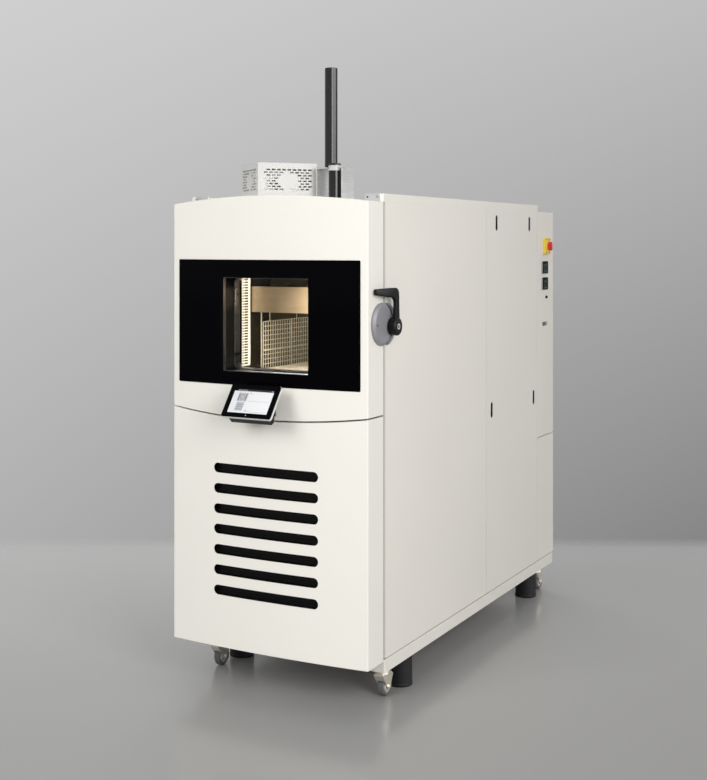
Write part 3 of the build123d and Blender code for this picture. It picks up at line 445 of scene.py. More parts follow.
# Lit surfaces.
SCREEN = Glow("screen_white", tone(224, 225, 228), 0.12, grain=900, mottle=0.01, relief=0.0, edge=0.0002, strength=0.02)
SCREEN_BAR = Glow("screen_bar", tone(34, 36, 42), 0.14, grain=900, mottle=0.03, relief=0.0, edge=0.0002, strength=0.1)
SCREEN_GREY = screen_tone("screen_grey", tone(172, 176, 184), 0.05)
SCREEN_GOLD = screen_tone("screen_gold", tone(196, 180, 110), 0.05)
SCREEN_DARK = screen_tone("screen_dark", tone(112, 115, 122), 0.03)
DIGITS = screen_tone("dim_digits", tone(58, 92, 74), 0.05, 0.2)
LAMP = Glow("lamp_glass", (1.0, 0.83, 0.6), 0.2, grain=300, mottle=0.03, relief=0.02, strength=6.0)

CORNERS = ("front_left", "front_right", "rear_left", "rear_right")
CAD_FINISHES: dict[Finish, str] = {
    WARM_WHITE: "door_shell lower_front_cover",
    SIDE_WHITE: "side_panel_left side_panel_right access_panel_left access_panel_right rear_side_panels rear_panel "
                "roof_panel roof_rails base_frame",
    FRAME_GREY: "front_frame",
    JAMB: "window_tunnel",
    BLACK_GLASS: "black_glass display_glass",
    PANE: "window_panes",
    STEEL: "basket_plugs lift_rod",
    LINER_PAINTED_SHADE: "chamber_liners",
    STRIP_WHITE: "air_guides",
    WIRE: "basket_frame basket_mesh heater_coil",
    ZINC: "roof_brackets fan_motors brake_resistor hot_fan cold_fan",
    FIN_METAL: "condenser evaporator",
    GUARD_WHITE: "drive_guard",
    LIFT_BLACK: "lift_column_tube lift_drive",
    WHITE_PLASTIC: "column_collar",
    BLACK_PLASTIC: "panel_latches lever_handle display_bracket rear_instruments",
    SHADE_PLASTIC: "intake_grille",
    GREY_PLASTIC: "handle_disc latch_keeper",
    PALE_TRAY: "display_housing",
    RUBBER: "levelling_feet",
    SEAL: "door_seal",
    YELLOW: "switch_housing",
    RED: "switch_knob",
    FOIL_BOARD: "hot_insulation cold_insulation",
    DOOR_LINER: "door_core",
    CAN_BLACK: "compressors",
    SATIN_NICKEL: " ".join(["cabinet_hinges", "door_hinges", *(f"caster_fork_{corner}" for corner in CORNERS)]),
    TYRE: " ".join(f"caster_wheel_{corner}" for corner in CORNERS),
}


def runs_along(edge: bmesh.types.BMEdge, way: Vector) -> bool:
    """Tells whether an edge runs along a direction."""
    return abs((edge.verts[0].co - edge.verts[1].co).normalized().dot(way)) > 0.9


def hang(name: str, kind: str, place: Point, aim: Point, power: float, colour: Colour, **settings: object) -> Piece:
    """Hangs a light that looks at a point.

    Args:
        name: the light's name.
        kind: AREA or SPOT.
        place, aim: where it hangs and where it looks.
        power: its strength in watts.
        colour: its light's colour.
        settings: its other properties.

    Returns:
        The light's object.
    """
    light = bpy.data.lights.new(name, kind)
    light.energy, light.color = power, colour
    for key, value in settings.items():
        setattr(light, key, value)
    lamp = bpy.data.objects.new(name, light)
    bpy.context.scene.collection.objects.link(lamp)
    lamp.location = place
    lamp.rotation_euler = (Vector(aim) - Vector(place)).to_track_quat("-Z", "Y").to_euler()
    return lamp


def clear() -> None:
    """Deselects everything."""
    bpy.ops.object.select_all(action="DESELECT")


def choose(piece: Piece) -> None:
    """Selects one piece alone and makes it active."""
    clear()
    piece.select_set(True)
    bpy.context.view_layer.objects.active = piece


@contextmanager
def editing(piece: Piece) -> Iterator[bmesh.types.BMesh]:
    """Opens a piece in edit mode with nothing selected.

    Args:
        piece: the object to edit.

    Returns:
        Its edit mesh, until the block ends.
    """
    choose(piece)
    bpy.ops.object.mode_set(mode="EDIT")
    bpy.ops.mesh.select_all(action="DESELECT")
    yield bmesh.from_edit_mesh(piece.data)
    bpy.ops.object.mode_set(mode="OBJECT")


def pick(piece: Piece, mesh: bmesh.types.BMesh, test: Callable[[bmesh.types.BMFace], bool]) -> None:
    """Selects the faces that pass a test."""
    bpy.ops.mesh.select_mode(type="FACE")
    for face in mesh.faces:
        face.select_set(bool(test(face)))
    bmesh.update_edit_mesh(piece.data)


def round_edges(piece: Piece, radius: float, steps: int, test: Callable[[bmesh.types.BMEdge], bool]) -> None:
    """Rounds the edges that pass a test.

    Args:
        piece: the object to shape.
        radius: how far the edges are rounded.
        steps: the faces across each rounded edge.
        test: tells which edges are rounded.
    """
    with editing(piece) as mesh:
        bpy.ops.mesh.select_mode(type="EDGE")
        for edge in mesh.edges:
            edge.select_set(bool(test(edge)))
        bmesh.update_edit_mesh(piece.data)
        bpy.ops.mesh.bevel(offset=radius, segments=steps, affect="EDGES")


def block(name: str, low: Point, high: Point, rounding: float = 0.0, steps: int = 2) -> Piece:
    """Models a block between two corners, with rounded edges.

    Args:
        name: the piece's name.
        low, high: its lowest and highest corner.
        rounding: how far the edges are rounded.
        steps: the faces across each rounded edge.

    Returns:
        The new object.
    """
    clear()
    bpy.ops.mesh.primitive_cube_add(size=1, location=[(a + b) / 2 for a, b in zip(low, high)])
    piece = bpy.context.active_object
    piece.name = piece.data.name = name
    piece.scale = [b - a for a, b in zip(low, high)]
    settle(piece)
    if rounding:
        round_edges(piece, rounding, steps, lambda edge: True)
        smooth(piece)
    return piece


def plate(name: str, low: Point, high: Point, along: Along, corner: float, rounding: float = 0.0,
          window: float = 0.0) -> Piece:
    """Models a plate with round corners, or a frame of that outline.

    Args:
        name: the piece's name.
        low, high: its lowest and highest corner.
        along: the direction across its thickness.
        corner: the radius of its corners.
        rounding: how far its other edges are rounded.
        window: the width of the frame round an opening; 0 leaves the plate whole.

    Returns:
        The new object.
    """

    def is_side(face: bmesh.types.BMFace) -> bool:
        return abs(face.normal.dot(along.way)) > 0.99

    def is_rim(edge: bmesh.types.BMEdge) -> bool:
        sides = [is_side(face) for face in edge.link_faces]
        return any(sides) and not all(sides)

    piece = block(name, low, high)
    round_edges(piece, corner, 7, lambda edge: runs_along(edge, along.way))
    if window:
        with editing(piece) as mesh:
            pick(piece, mesh, is_side)
            bpy.ops.mesh.inset(thickness=window)
            bpy.ops.mesh.bridge_edge_loops()
    if rounding:
        round_edges(piece, rounding, 2, is_rim)
    smooth(piece)
    return piece


def side_plate(name: str, depth: Span, middle: Span, half: Span, corner: float, rounding: float = 0.0,
               window: float = 0.0) -> Piece:
    """Models a plate that lies on a side of the casing.

    Args:
        name: the piece's name.
        depth: its two faces, along X.
        middle: its centre, along Y and Z.
        half: half its size, along Y and Z.
        corner, rounding, window: as for plate.

    Returns:
        The new object.
    """
    (y, z), (wide, tall) = middle, half
    return plate(name, (min(depth), y - wide, z - tall), (max(depth), y + wide, z + tall), Along.X, corner,
                 rounding, window)


def screw(middle: Point, along: Along, radius: float = 0.004, proud: float = 0.002) -> Piece:
    """Models a round screw head with a recessed socket, its middle on the surface."""
    head = drum("screw", middle, radius, 2 * proud, along, proud * 0.4, 16)
    for side in (1, -1):
        recess(head, tuple(along.way * side), radius * 0.45, proud * 0.5)
    return head


def drum(name: str, middle: Point, radius: float, depth: float, along: Along, rounding: float = 0.0,
         sides: int = 48) -> Piece:
    """Models a round piece with rounded rims.

    Args:
        name: the piece's name.
        middle: its centre.
        radius, depth: its size.
        along: the direction of its axis.
        rounding: how far its rims are rounded.
        sides: the faces round it.

    Returns:
        The new object.
    """
    clear()
    bpy.ops.mesh.primitive_cylinder_add(vertices=sides, radius=radius, depth=depth, location=middle,
                                        rotation=along.value)
    piece = bpy.context.active_object
    piece.name = piece.data.name = name
    settle(piece)
    if rounding:
        round_edges(piece, rounding, 3, lambda edge: any(len(face.verts) > 4 for face in edge.link_faces))
    smooth(piece)
    return piece


def recess(piece: Piece, towards: Point, margin: float, depth: float) -> None:
    """Insets the faces that look one way and pushes them in.

    Args:
        piece: the object to shape.
        towards: the way the faces look.
        margin: the width of the rim that stays.
        depth: how far the middle goes in.
    """
    way = Vector(towards)
    with editing(piece) as mesh:
        pick(piece, mesh, lambda face: face.normal.dot(way) > 0.99)
        bpy.ops.mesh.inset(thickness=margin)
        bpy.ops.transform.translate(value=-way * depth)


def smooth(piece: Piece, angle: float = 35) -> None:
    """Shades a piece smooth, apart from edges sharper than angle degrees."""
    choose(piece)
    bpy.ops.object.shade_smooth_by_angle(angle=math.radians(angle))


def settle(piece: Piece) -> None:
    """Puts a piece's place into its mesh, so that its object sits at the origin."""
    choose(piece)
    bpy.ops.object.transform_apply(location=True, rotation=True, scale=True)


def row(piece: Piece, step: Point, count: int) -> Piece:
    """Repeats a piece's mesh in a row.

    Args:
        piece: the object to repeat.
        step: the way from one to the next.
        count: how many there are.

    Returns:
        The same object.
    """
    choose(piece)
    bpy.ops.object.modifier_add(type="ARRAY")
    spread = piece.modifiers[-1]
    spread.use_relative_offset, spread.use_constant_offset = False, True
    spread.constant_offset_displace, spread.count = step, count
    bpy.ops.object.modifier_apply(modifier=spread.name)
    return piece


def join(name: str, pieces: Sequence[Piece]) -> Piece:
    """Joins pieces of one finish into one object with this name."""
    choose(pieces[0])
    for piece in pieces:
        piece.select_set(True)
    if len(pieces) > 1:
        bpy.ops.object.join()
    joined = bpy.context.active_object
    joined.name = joined.data.name = name
    return joined


def turn(piece: Piece, matrix: Matrix) -> Piece:
    """Moves a piece by a matrix and puts that into its mesh."""
    piece.matrix_world = matrix @ piece.matrix_world
    settle(piece)
    return piece


def dress(piece: Piece, finish: Finish, body: str) -> Piece:
    """Gives a piece its finish and its body.

    Args:
        piece: the finished object.
        finish: what it is made of.
        body: the body that it moves with.

    Returns:
        The same object.
    """
    piece.data.materials.clear()
    piece.data.materials.append(finish.material())
    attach(piece, body)
    log.info("%s rides on %s", piece.name, body)
    return piece


def unite(name: str, pieces: Sequence[Piece], finish: Finish, body: str) -> Piece:
    """Joins pieces under one name and dresses the result."""
    return dress(join(name, pieces), finish, body)


@dataclass(frozen=True)
class SoftLamp:
    """A square soft lamp; a hidden one leaves no highlight."""

    name: str
    place: Point
    aim: Point
    size: float
    power: float
    colour: Colour = (1.0, 1.0, 1.0)
    hidden: bool = False

    def build(self) -> None:
        """Hangs the lamp."""
        lamp = hang(self.name, "AREA", self.place, self.aim, self.power, self.colour, size=self.size)
        lamp.visible_glossy = not self.hidden


@dataclass
class Studio:
    """The pale floor, the soft lamps, the backdrop tone and the camera."""

    floor_size: float = 60.0
    floor_tone: Colour = tone(181, 181, 181)
    floor_end: Span = (1.55, 1.8)
    backdrop_low: tuple[Colour, Colour] = (tone(176, 176, 176), tone(133, 133, 133))
    backdrop_high: tuple[Colour, Colour] = (tone(208, 208, 208), tone(190, 190, 190))
    backdrop_floor: Colour = tone(168, 168, 167)
    across: Span = (-0.28, 0.28)
    upward: Span = (-0.22, 0.19)
    downward: Span = (-0.34, -0.27)
    air_light: float = 0.45
    window_way: Point = (0.985, 0.12, 0.12)
    window_rim: Span = (0.9, 0.93)
    window_sill: Span = (0.01, 0.03)
    window_light: float = 12.0
    eye: Point = (2.5616, -5.0079, 1.7340)
    heading: float = 28.2
    focal: float = 1262.06
    frame_high: int = 780
    horizon: float = 243.51
    sensor: float = 36.0
    lamps: tuple[SoftLamp, ...] = (
        SoftLamp("key", (-2.4, -8.2, 4.9), (0.0, -0.8, 1.0), 4.4, 338.0, (1.0, 0.992, 0.965), True),
        SoftLamp("side_fill", (4.2, -3.4, 2.6), (0.4, -0.4, 1.0), 2.6, 172.0, (1.0, 0.985, 0.965)),
        SoftLamp("top_soft", (0.4, 0.6, 5.4), (0.0, 0.2, 1.9), 3.0, 38.0),
        SoftLamp("back_rim", (-3.4, 4.6, 3.6), (0.0, 0.4, 1.2), 3.0, 90.0, hidden=True),
    )

    def build(self) -> None:
        """Makes the stage, the lamps and the camera."""
        self.floor()
        self.world()
        for lamp in self.lamps:
            lamp.build()
        self.camera()

    def floor(self) -> None:
        """Lays a wide pale floor with a soft sheen."""
        clear()
        bpy.ops.mesh.primitive_plane_add(size=self.floor_size, location=(0, 0, -0.0005))
        floor = bpy.context.active_object
        floor.name = "studio_floor"
        finish = StudioFloor("studio_floor_vinyl_painted_shade", self.floor_tone, 0.2, grain=60, mottle=0.008, relief=0.008,
                             heading=self.heading, end=self.floor_end)
        floor.data.materials.append(finish.material())

    def world(self) -> None:
        """Lights the object evenly, shows a graded backdrop, and lets a bright window be mirrored."""
        world = bpy.data.worlds.new("studio_air")
        bpy.context.scene.world = world
        world.use_nodes = True
        w = Wiring(world.node_tree)
        way = w.place("ShaderNodeTexCoord").outputs["Generated"]
        turn = math.radians(self.heading)
        share = w.spread(w.dot(way, (math.cos(turn), math.sin(turn), 0.0)), 0.0, 1.0, *self.across)
        height = w.place("ShaderNodeSeparateXYZ", {0: way}).outputs["Z"]
        wall = w.blend(w.spread(height, 0.0, 1.0, *self.upward), w.blend(share, *self.backdrop_low),
                       w.blend(share, *self.backdrop_high))
        backdrop = w.blend(w.spread(height, 1.0, 0.0, *self.downward), wall, self.backdrop_floor)
        path = w.place("ShaderNodeLightPath").outputs
        window = w.calc("MULTIPLY", w.spread(w.dot(way, self.window_way), 0.0, 1.0, *self.window_rim),
                        w.spread(height, 0.0, 1.0, *self.window_sill))
        shine = w.calc("MULTIPLY", window, path["Is Glossy Ray"])
        strength = w.calc("MULTIPLY_ADD", shine, self.window_light, 1.0)
        seen = w.place("ShaderNodeBackground", {"Color": backdrop, "Strength": strength})
        lit = w.place("ShaderNodeBackground", {"Color": (1, 1, 1, 1), "Strength": self.air_light})
        shown = w.calc("MAXIMUM", w.calc("MAXIMUM", path["Is Camera Ray"], path["Is Glossy Ray"]),
                       path["Is Transmission Ray"])
        mixed = w.place("ShaderNodeMixShader", {0: shown, 1: lit.outputs[0], 2: seen.outputs[0]})
        w.place("ShaderNodeOutputWorld", {"Surface": mixed.outputs[0]})

    def camera(self) -> None:
        """Sets the camera where the photograph was taken."""
        data = bpy.data.cameras.new("photo_camera")
        camera = bpy.data.objects.new("photo_camera", data)
        scene = bpy.context.scene
        scene.collection.objects.link(camera)
        camera.location = self.eye
        camera.rotation_euler = (math.pi / 2, 0.0, math.radians(self.heading))
        data.sensor_width = self.sensor
        data.lens = self.focal * self.sensor / self.frame_high
        data.shift_y = (self.horizon - self.frame_high / 2) / self.frame_high
        data.clip_start, data.clip_end = 0.1, 200.0
        scene.camera = camera
        scene.view_settings.view_transform = "Standard"


@dataclass
class TouchDisplay:
    """The picture on the tilted touch display, in the display's own plane until it is turned."""

    low: Point = (0.0, DOOR_PLANE - 0.287, 1.090)
    high: Point = (0.0, DOOR_PLANE - 0.204, 1.201)
    screen: Area = (-0.0855, -0.0515, 0.0870, 0.0495)
    bar_high: float = 0.0085
    bar_start: float = 0.012
    squares: tuple[Area, ...] = ((-0.063, -0.003, -0.021, 0.034), (-0.059, -0.042, -0.025, -0.006))
    rules: tuple[Area, ...] = ((-0.012, -0.001, 0.080, 0.0004), (-0.012, -0.046, 0.080, -0.0445))
    post: Area = (-0.060, 0.001, -0.056, 0.030)
    post_step: float = 0.031
    shelf: Area = (-0.055, -0.037, -0.029, -0.0352)
    shelf_step: float = 0.010
    dots: tuple[Span, ...] = ((-0.012, 0.031), (-0.012, -0.042))
    dot: float = 0.004
    fan: Span = (-0.042, 0.016)
    fan_ring: float = 0.011
    fan_hub: float = 0.0055
    mark: Area = (0.016, 0.0025, 0.022, -0.0025)
    mark_step: float = 0.011
    last_mark: Span = (-0.012, -0.004)
    key: Span = (0.0, -0.0605)
    key_radius: float = 0.0022
    lifts: Point = (0.0003, 0.0004, 0.0006)

    def frame(self) -> Matrix:
        """Gives the matrix from the display's own plane to the frame."""
        low, high = Vector(self.low), Vector(self.high)
        up = (high - low).normalized()
        right = Vector((1, 0, 0))
        matrix = Matrix((right, up, right.cross(up))).transposed().to_4x4()
        matrix.translation = (low + high) / 2
        return matrix

    def tile(self, area: Area, level: int, right: float = 0.0, up: float = 0.0) -> Piece:
        """Models one thin rounded tile of the picture.

        Args:
            area: its left, bottom, right and top.
            level: how many tiles it lies on.
            right, up: how far it is moved.

        Returns:
            The new object.
        """
        x0, y0, x1, y1 = area
        rounding = min(0.0012, (x1 - x0) / 5, (y1 - y0) / 5)
        return block("tile", (x0 + right, y0 + up, -0.0002), (x1 + right, y1 + up, self.lifts[level]), rounding)

    def symbols(self) -> list[Piece]:
        """Models the pictogram's posts, shelves, dots and fan ring."""
        made = [self.tile(self.post, 2, self.post_step * i) for i in range(2)]
        made += [self.tile(self.shelf, 2, 0.0, self.shelf_step * i) for i in range(3)]
        made += [self.tile((x, y, x + self.dot, y + self.dot), 2) for x, y in self.dots]
        (x, y), wide = self.fan, self.fan_ring
        made.append(plate("ring", (x - wide, y - wide, self.lifts[0]), (x + wide, y + wide, self.lifts[2]), Along.Z,
                          0.0105, 0.0, 0.0016))
        return made

    def marks(self, bar: float) -> list[Piece]:
        """Models the light marks on the bar, whose lower edge is given."""
        left, _, right, top = self.screen
        x0, y0, x1, y1 = self.mark
        made = [self.tile((left + x0, bar + y0, left + x1, top + y1), 2, self.mark_step * i) for i in range(4)]
        x0, x1 = self.last_mark
        return made + [self.tile((right + x0, bar + y0, right + x1, top + y1), 2)]

    def build(self) -> None:
        """Models the lit picture, its bar, pictogram, symbols and the key below it."""
        left, bottom, right, top = self.screen
        bar = top - self.bar_high
        hub = (*self.fan, self.lifts[1])
        groups: tuple[tuple[str, Finish, list[Piece]], ...] = (
            ("screen_picture", SCREEN, [self.tile((left, bottom, right, bar), 0)]),
            ("screen_bar", SCREEN_BAR, [self.tile((left + self.bar_start, bar, right, top), 0)]),
            ("screen_pictogram", SCREEN_GREY, [self.tile(area, 1) for area in self.squares + self.rules]),
            ("screen_symbols", SCREEN_DARK, self.symbols()),
            ("screen_light_marks", SCREEN_GREY, self.marks(bar)),
            ("screen_fan_symbol", SCREEN_GOLD, [drum("hub", hub, self.fan_hub, 0.0008, Along.Z, 0.0001, 24)]),
        )
        for name, finish, parts in groups:
            dress(turn(join(name, parts), self.frame()), finish, "door")
        home = drum("display_home_key", (*self.key, 0.0001), self.key_radius, 0.0006, Along.Z, 0.0001, 24)
        recess(home, (0, 0, 1), 0.0006, 0.0002)
        dress(turn(home, self.frame()), ZINC, "door")


@dataclass
class WireBasket:
    """The welded wire basket: grids, rims, posts and hooks, in place of the plain solids."""

    half: float = 0.179
    outer: float = 0.188
    front: float = DOOR_PLANE + 0.125
    back: float = DOOR_PLANE + 0.538
    low: float = 1.226
    high: float = 1.417
    rail: float = 1.299
    top: float = 1.456
    pitch: float = 0.0185
    wire: float = 0.0016
    post: float = 0.003
    middle_post: float = 0.22
    hooks: Point = (0.05, 0.265, 0.363)

    def wires(self, start: Point, along: Along, length: float, step: Point, count: int) -> Piece:
        """Models a row of wires from the middle of the first one."""
        return row(drum("wire", start, self.wire, length, along, 0.0, 6), step, count)

    def build(self) -> None:
        """Models the back, side and floor grids, then the rims, posts and hooks."""
        wide, deep, tall = 2 * self.half, self.back - self.front, self.high - self.low
        mid_y, mid_z = (self.front + self.back) / 2, (self.low + self.high) / 2
        across, along, up = (round(size / self.pitch) for size in (wide, deep, tall))
        step_x, step_y, step_z = (wide / across, 0, 0), (0, deep / along, 0), (0, 0, tall / up)
        grid = [
            self.wires((-self.half, self.back, mid_z), Along.Z, tall, step_x, across + 1),
            self.wires((0, self.back, self.low), Along.X, wide, step_z, up + 1),
            self.wires((-self.half, mid_y, self.low), Along.Y, deep, step_x, across + 1),
            self.wires((0, self.front, self.low), Along.X, wide, step_y, along + 1),
        ]
        for side in (-self.half, self.half):
            grid.append(self.wires((side, self.front, mid_z), Along.Z, tall, step_y, along + 1))
            grid.append(self.wires((side, mid_y, self.low), Along.Y, deep, step_z, up + 1))
        unite("basket_wire_grid", grid, WIRE, "basket")
        rims = []
        for z in (self.low, self.rail, self.high):
            rims += [self.rod((side, mid_y, z), 0.5, deep, Along.Y) for side in (-self.half, self.half)]
            rims.append(self.rod((0, self.back, z), 0.5, wide, Along.X))
        for side in (-1, 1):
            x = side * self.half
            for y in (self.front, self.front + self.middle_post, self.back):
                rims.append(self.rod((x, y, mid_z), 0.7, tall, Along.Z, 0.0005))
            outer = (side * self.outer, self.front, (self.low + self.top) / 2)
            rims.append(self.rod(outer, 0.8, self.top - self.low, Along.Z, 0.0005))
            for shift in self.hooks:
                hook = (x, self.front + shift, (self.high + self.top) / 2)
                rims.append(self.rod(hook, 0.6, self.top - self.high, Along.Z, 0.0004, 10))
        rims_piece = unite("basket_wire_rims", rims, WIRE, "basket")
        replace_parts(rims_piece, "basket_mesh", "basket_frame")

    def rod(self, middle: Point, share: float, length: float, along: Along, rounding: float = 0.0,
            sides: int = 12) -> Piece:
        """Models a rod whose radius is a share of the post's width."""
        return drum("rod", middle, self.post * share, length, along, rounding, sides)


@dataclass
class TestSpace:
    """The air strips, header, wall panels and lamp of the hot space."""

    half: float = 0.215
    low: float = 1.213
    high: float = 1.645
    strip_z: Span = (1.246, 1.618)
    strip_off: float = 0.0030
    strip_bars: tuple[Span, ...] = ((0.018, 0.0205), (0.031, 0.0345), (0.064, 0.078))
    strip_rows: int = 34
    strip_rung: float = 0.0038
    strip_thick: float = 0.0014
    strip_lap: float = 0.0003
    sheet: Span = (0.0006, 0.0010)
    header_t: float = 0.088
    header_z: Span = (1.459, 1.559)
    header_gap: float = 0.0036
    header_thick: float = 0.0016
    lip: Point = (0.0001, 0.018, 0.0015)
    catch: Point = (0.0018, 0.003, 0.009)
    catch_x: float = 0.19
    catch_z: Span = (1.521, 1.466)
    panel: Span = (DOOR_PLANE + 0.233, DOOR_PLANE + 0.565)
    panel_off: float = 0.0022
    panel_half: float = 0.0012
    panel_screws: tuple[float, ...] = (0.262, 0.278, 0.356, 0.378, 0.47, 0.54)
    lamp_y: float = DOOR_PLANE + 0.050
    lamp_z: Span = (1.40, 1.60)
    lamp_half: float = 0.012
    lamp_rim: float = 0.007
    lamp_light: Colour = (1.0, 0.91, 0.8)
    power: float = 9.0
    beam_aim: Point = (0.035, DOOR_PLANE + 0.088, 1.492)
    beam_light: Colour = (1.0, 0.86, 0.68)
    beam_power: float = 5.0
    beam_wide: float = 36.0

    def build(self) -> None:
        """Models the pieces and hangs the warm light."""
        self.air_strips()
        self.header()
        self.wall_panels()
        self.lamp()

    def air_strips(self) -> None:
        """Models the slotted strips beside the mouth from bars in front of a dark sheet, which paints the shade behind
        the slots.
        """
        bars, shade_sheets = [], []
        low, high = self.strip_z
        for side in (-1, 1):
            x = side * (self.half - self.strip_off)
            near, far = sorted((x, x - side * self.strip_thick))
            for start, end in self.strip_bars:
                bars.append(block("bar", (near, DOOR_PLANE + start, low), (far, DOOR_PLANE + end, high), 0.0002, 1))
            start, end = self.strip_bars[0][1] - self.strip_lap, self.strip_bars[-1][0] + self.strip_lap
            rung = block("rung", (near, DOOR_PLANE + start, low), (far, DOOR_PLANE + end, low + self.strip_rung))
            pitch = (high - low - self.strip_rung) / self.strip_rows
            bars.append(row(rung, (0, 0, pitch), self.strip_rows + 1))
            # The dark sheet behind the bars is painted shade in the slots.
            near, far = sorted(x + side * gap for gap in self.sheet)
            shade_sheets.append(block("sheet", (near, DOOR_PLANE + start, low), (far, DOOR_PLANE + end, high), 0.0001, 1))
        unite("air_strip_bars", bars, STRIP_WHITE, "cabinet")
        unite("air_strip_painted_shade", shade_sheets, SHADE_AND_PRINT_BLACK, "cabinet")

    def header(self) -> None:
        """Models the folded baffle across the top of the test space and its catches."""
        wide, y, (low, high) = self.half - self.header_gap, DOOR_PLANE + self.header_t, self.header_z
        front, reach, half = self.lip
        pieces = [block("panel", (-wide, y, low), (wide, y + self.header_thick, high))]
        pieces += [block("lip", (-wide, y - front, z - half), (wide, y + reach, z + half), 0.001)
                   for z in (low, high)]
        unite("header_baffle", pieces, HEADER, "cabinet")
        wide, proud, tall = self.catch
        catches = [block("catch", (x - wide, y - proud, z - tall), (x + wide, y + 0.0002, z + tall), 0.0008)
                   for x in (-self.catch_x, self.catch_x) for z in self.catch_z]
        unite("header_catches", catches, POLISHED, "cabinet")

    def wall_panels(self) -> None:
        """Models the panels on both side walls and their screws."""
        screws = []
        for side, word in ((-1, "left"), (1, "right")):
            x = side * (self.half - self.panel_off)
            wall = plate(f"wall_panel_{word}", (x - self.panel_half, self.panel[0], self.low + 0.012),
                         (x + self.panel_half, self.panel[1], self.high - 0.01), Along.X, 0.004, 0.0005)
            dress(wall, WALL_PANEL_PAINTED_SHADE, "cabinet")
            for t in self.panel_screws:
                for z in (self.high - 0.082, self.low + 0.04):
                    screws.append(screw((x - side * 0.0016, DOOR_PLANE + t, z), Along.X, 0.0035, 0.0018))
        unite("wall_panel_screws", screws, POLISHED, "cabinet")

    def lamp(self) -> None:
        """Models the lamp on the right wall and hangs its light."""
        x, (low, high) = self.half - 0.002, self.lamp_z
        middle, half = (self.lamp_y, (low + high) / 2), (self.lamp_half, (high - low) / 2)
        rim = (self.lamp_half + self.lamp_rim, (high - low) / 2 + 0.012)
        body = side_plate("lamp_housing", (x - 0.011, x), middle, rim, 0.008, 0.002)
        recess(body, (-1, 0, 0), 0.004, 0.003)
        dress(body, STEEL, "cabinet")
        lens = side_plate("lamp_lens", (x - 0.0105, x - 0.006), middle, half, 0.006, 0.001)
        dress(lens, LAMP, "cabinet")
        place = (x - 0.013, *middle)
        hang("lamp_light", "AREA", place, (0.0, *middle), self.power, self.lamp_light, shape="RECTANGLE",
             size=2 * self.lamp_half, size_y=high - low)
        hang("lamp_beam", "SPOT", (x - 0.02, self.lamp_y - 0.02, 1.50), self.beam_aim, self.beam_power, self.beam_light,
             spot_size=math.radians(self.beam_wide), spot_blend=1.0, shadow_soft_size=0.01)


@dataclass
class WindowTrim:
    """The frame at the outer pane, the polished sill and the frame at the inner pane; the frames' dark steel paints the
    shade on the trim's left and top, and the sill is its lit copy, painted light along the bottom.
    """

    half: float = 0.1915
    low: float = 1.2415
    high: float = 1.6035
    depth: Span = (-0.9395, -0.925)
    wide: float = 0.0022
    corner: float = 0.003
    inner_depth: Span = (-0.866, -0.8305)
    inner_wide: float = 0.006
    inner_corner: float = 0.026
    sill_reach: float = 0.14
    sill_high: float = 0.005

    def build(self) -> None:
        """Models the three pieces."""
        self.ring("window_edge_trim", self.depth, self.corner, 0.0003, self.wide)
        front, back = self.depth
        # The sill is the lit copy of the frame's steel: painted light along the bottom of the window.
        sill = block("window_sill", (-self.sill_reach, front + 0.0005, self.low + 0.0002),
                     (self.half - 0.0005, back, self.low + self.sill_high), 0.0012)
        dress(sill, POLISHED, "door")
        self.ring("inner_window_frame", self.inner_depth, self.inner_corner, 0.0022, self.inner_wide)

    def ring(self, name: str, depth: Span, corner: float, rounding: float, wide: float) -> None:
        """Models a frame round the window."""
        frame = plate(name, (-self.half, depth[0], self.low), (self.half, depth[1], self.high), Along.Y, corner,
                      rounding, wide)
        dress(frame, FRAME_STEEL_PAINTED_SHADE, "door")


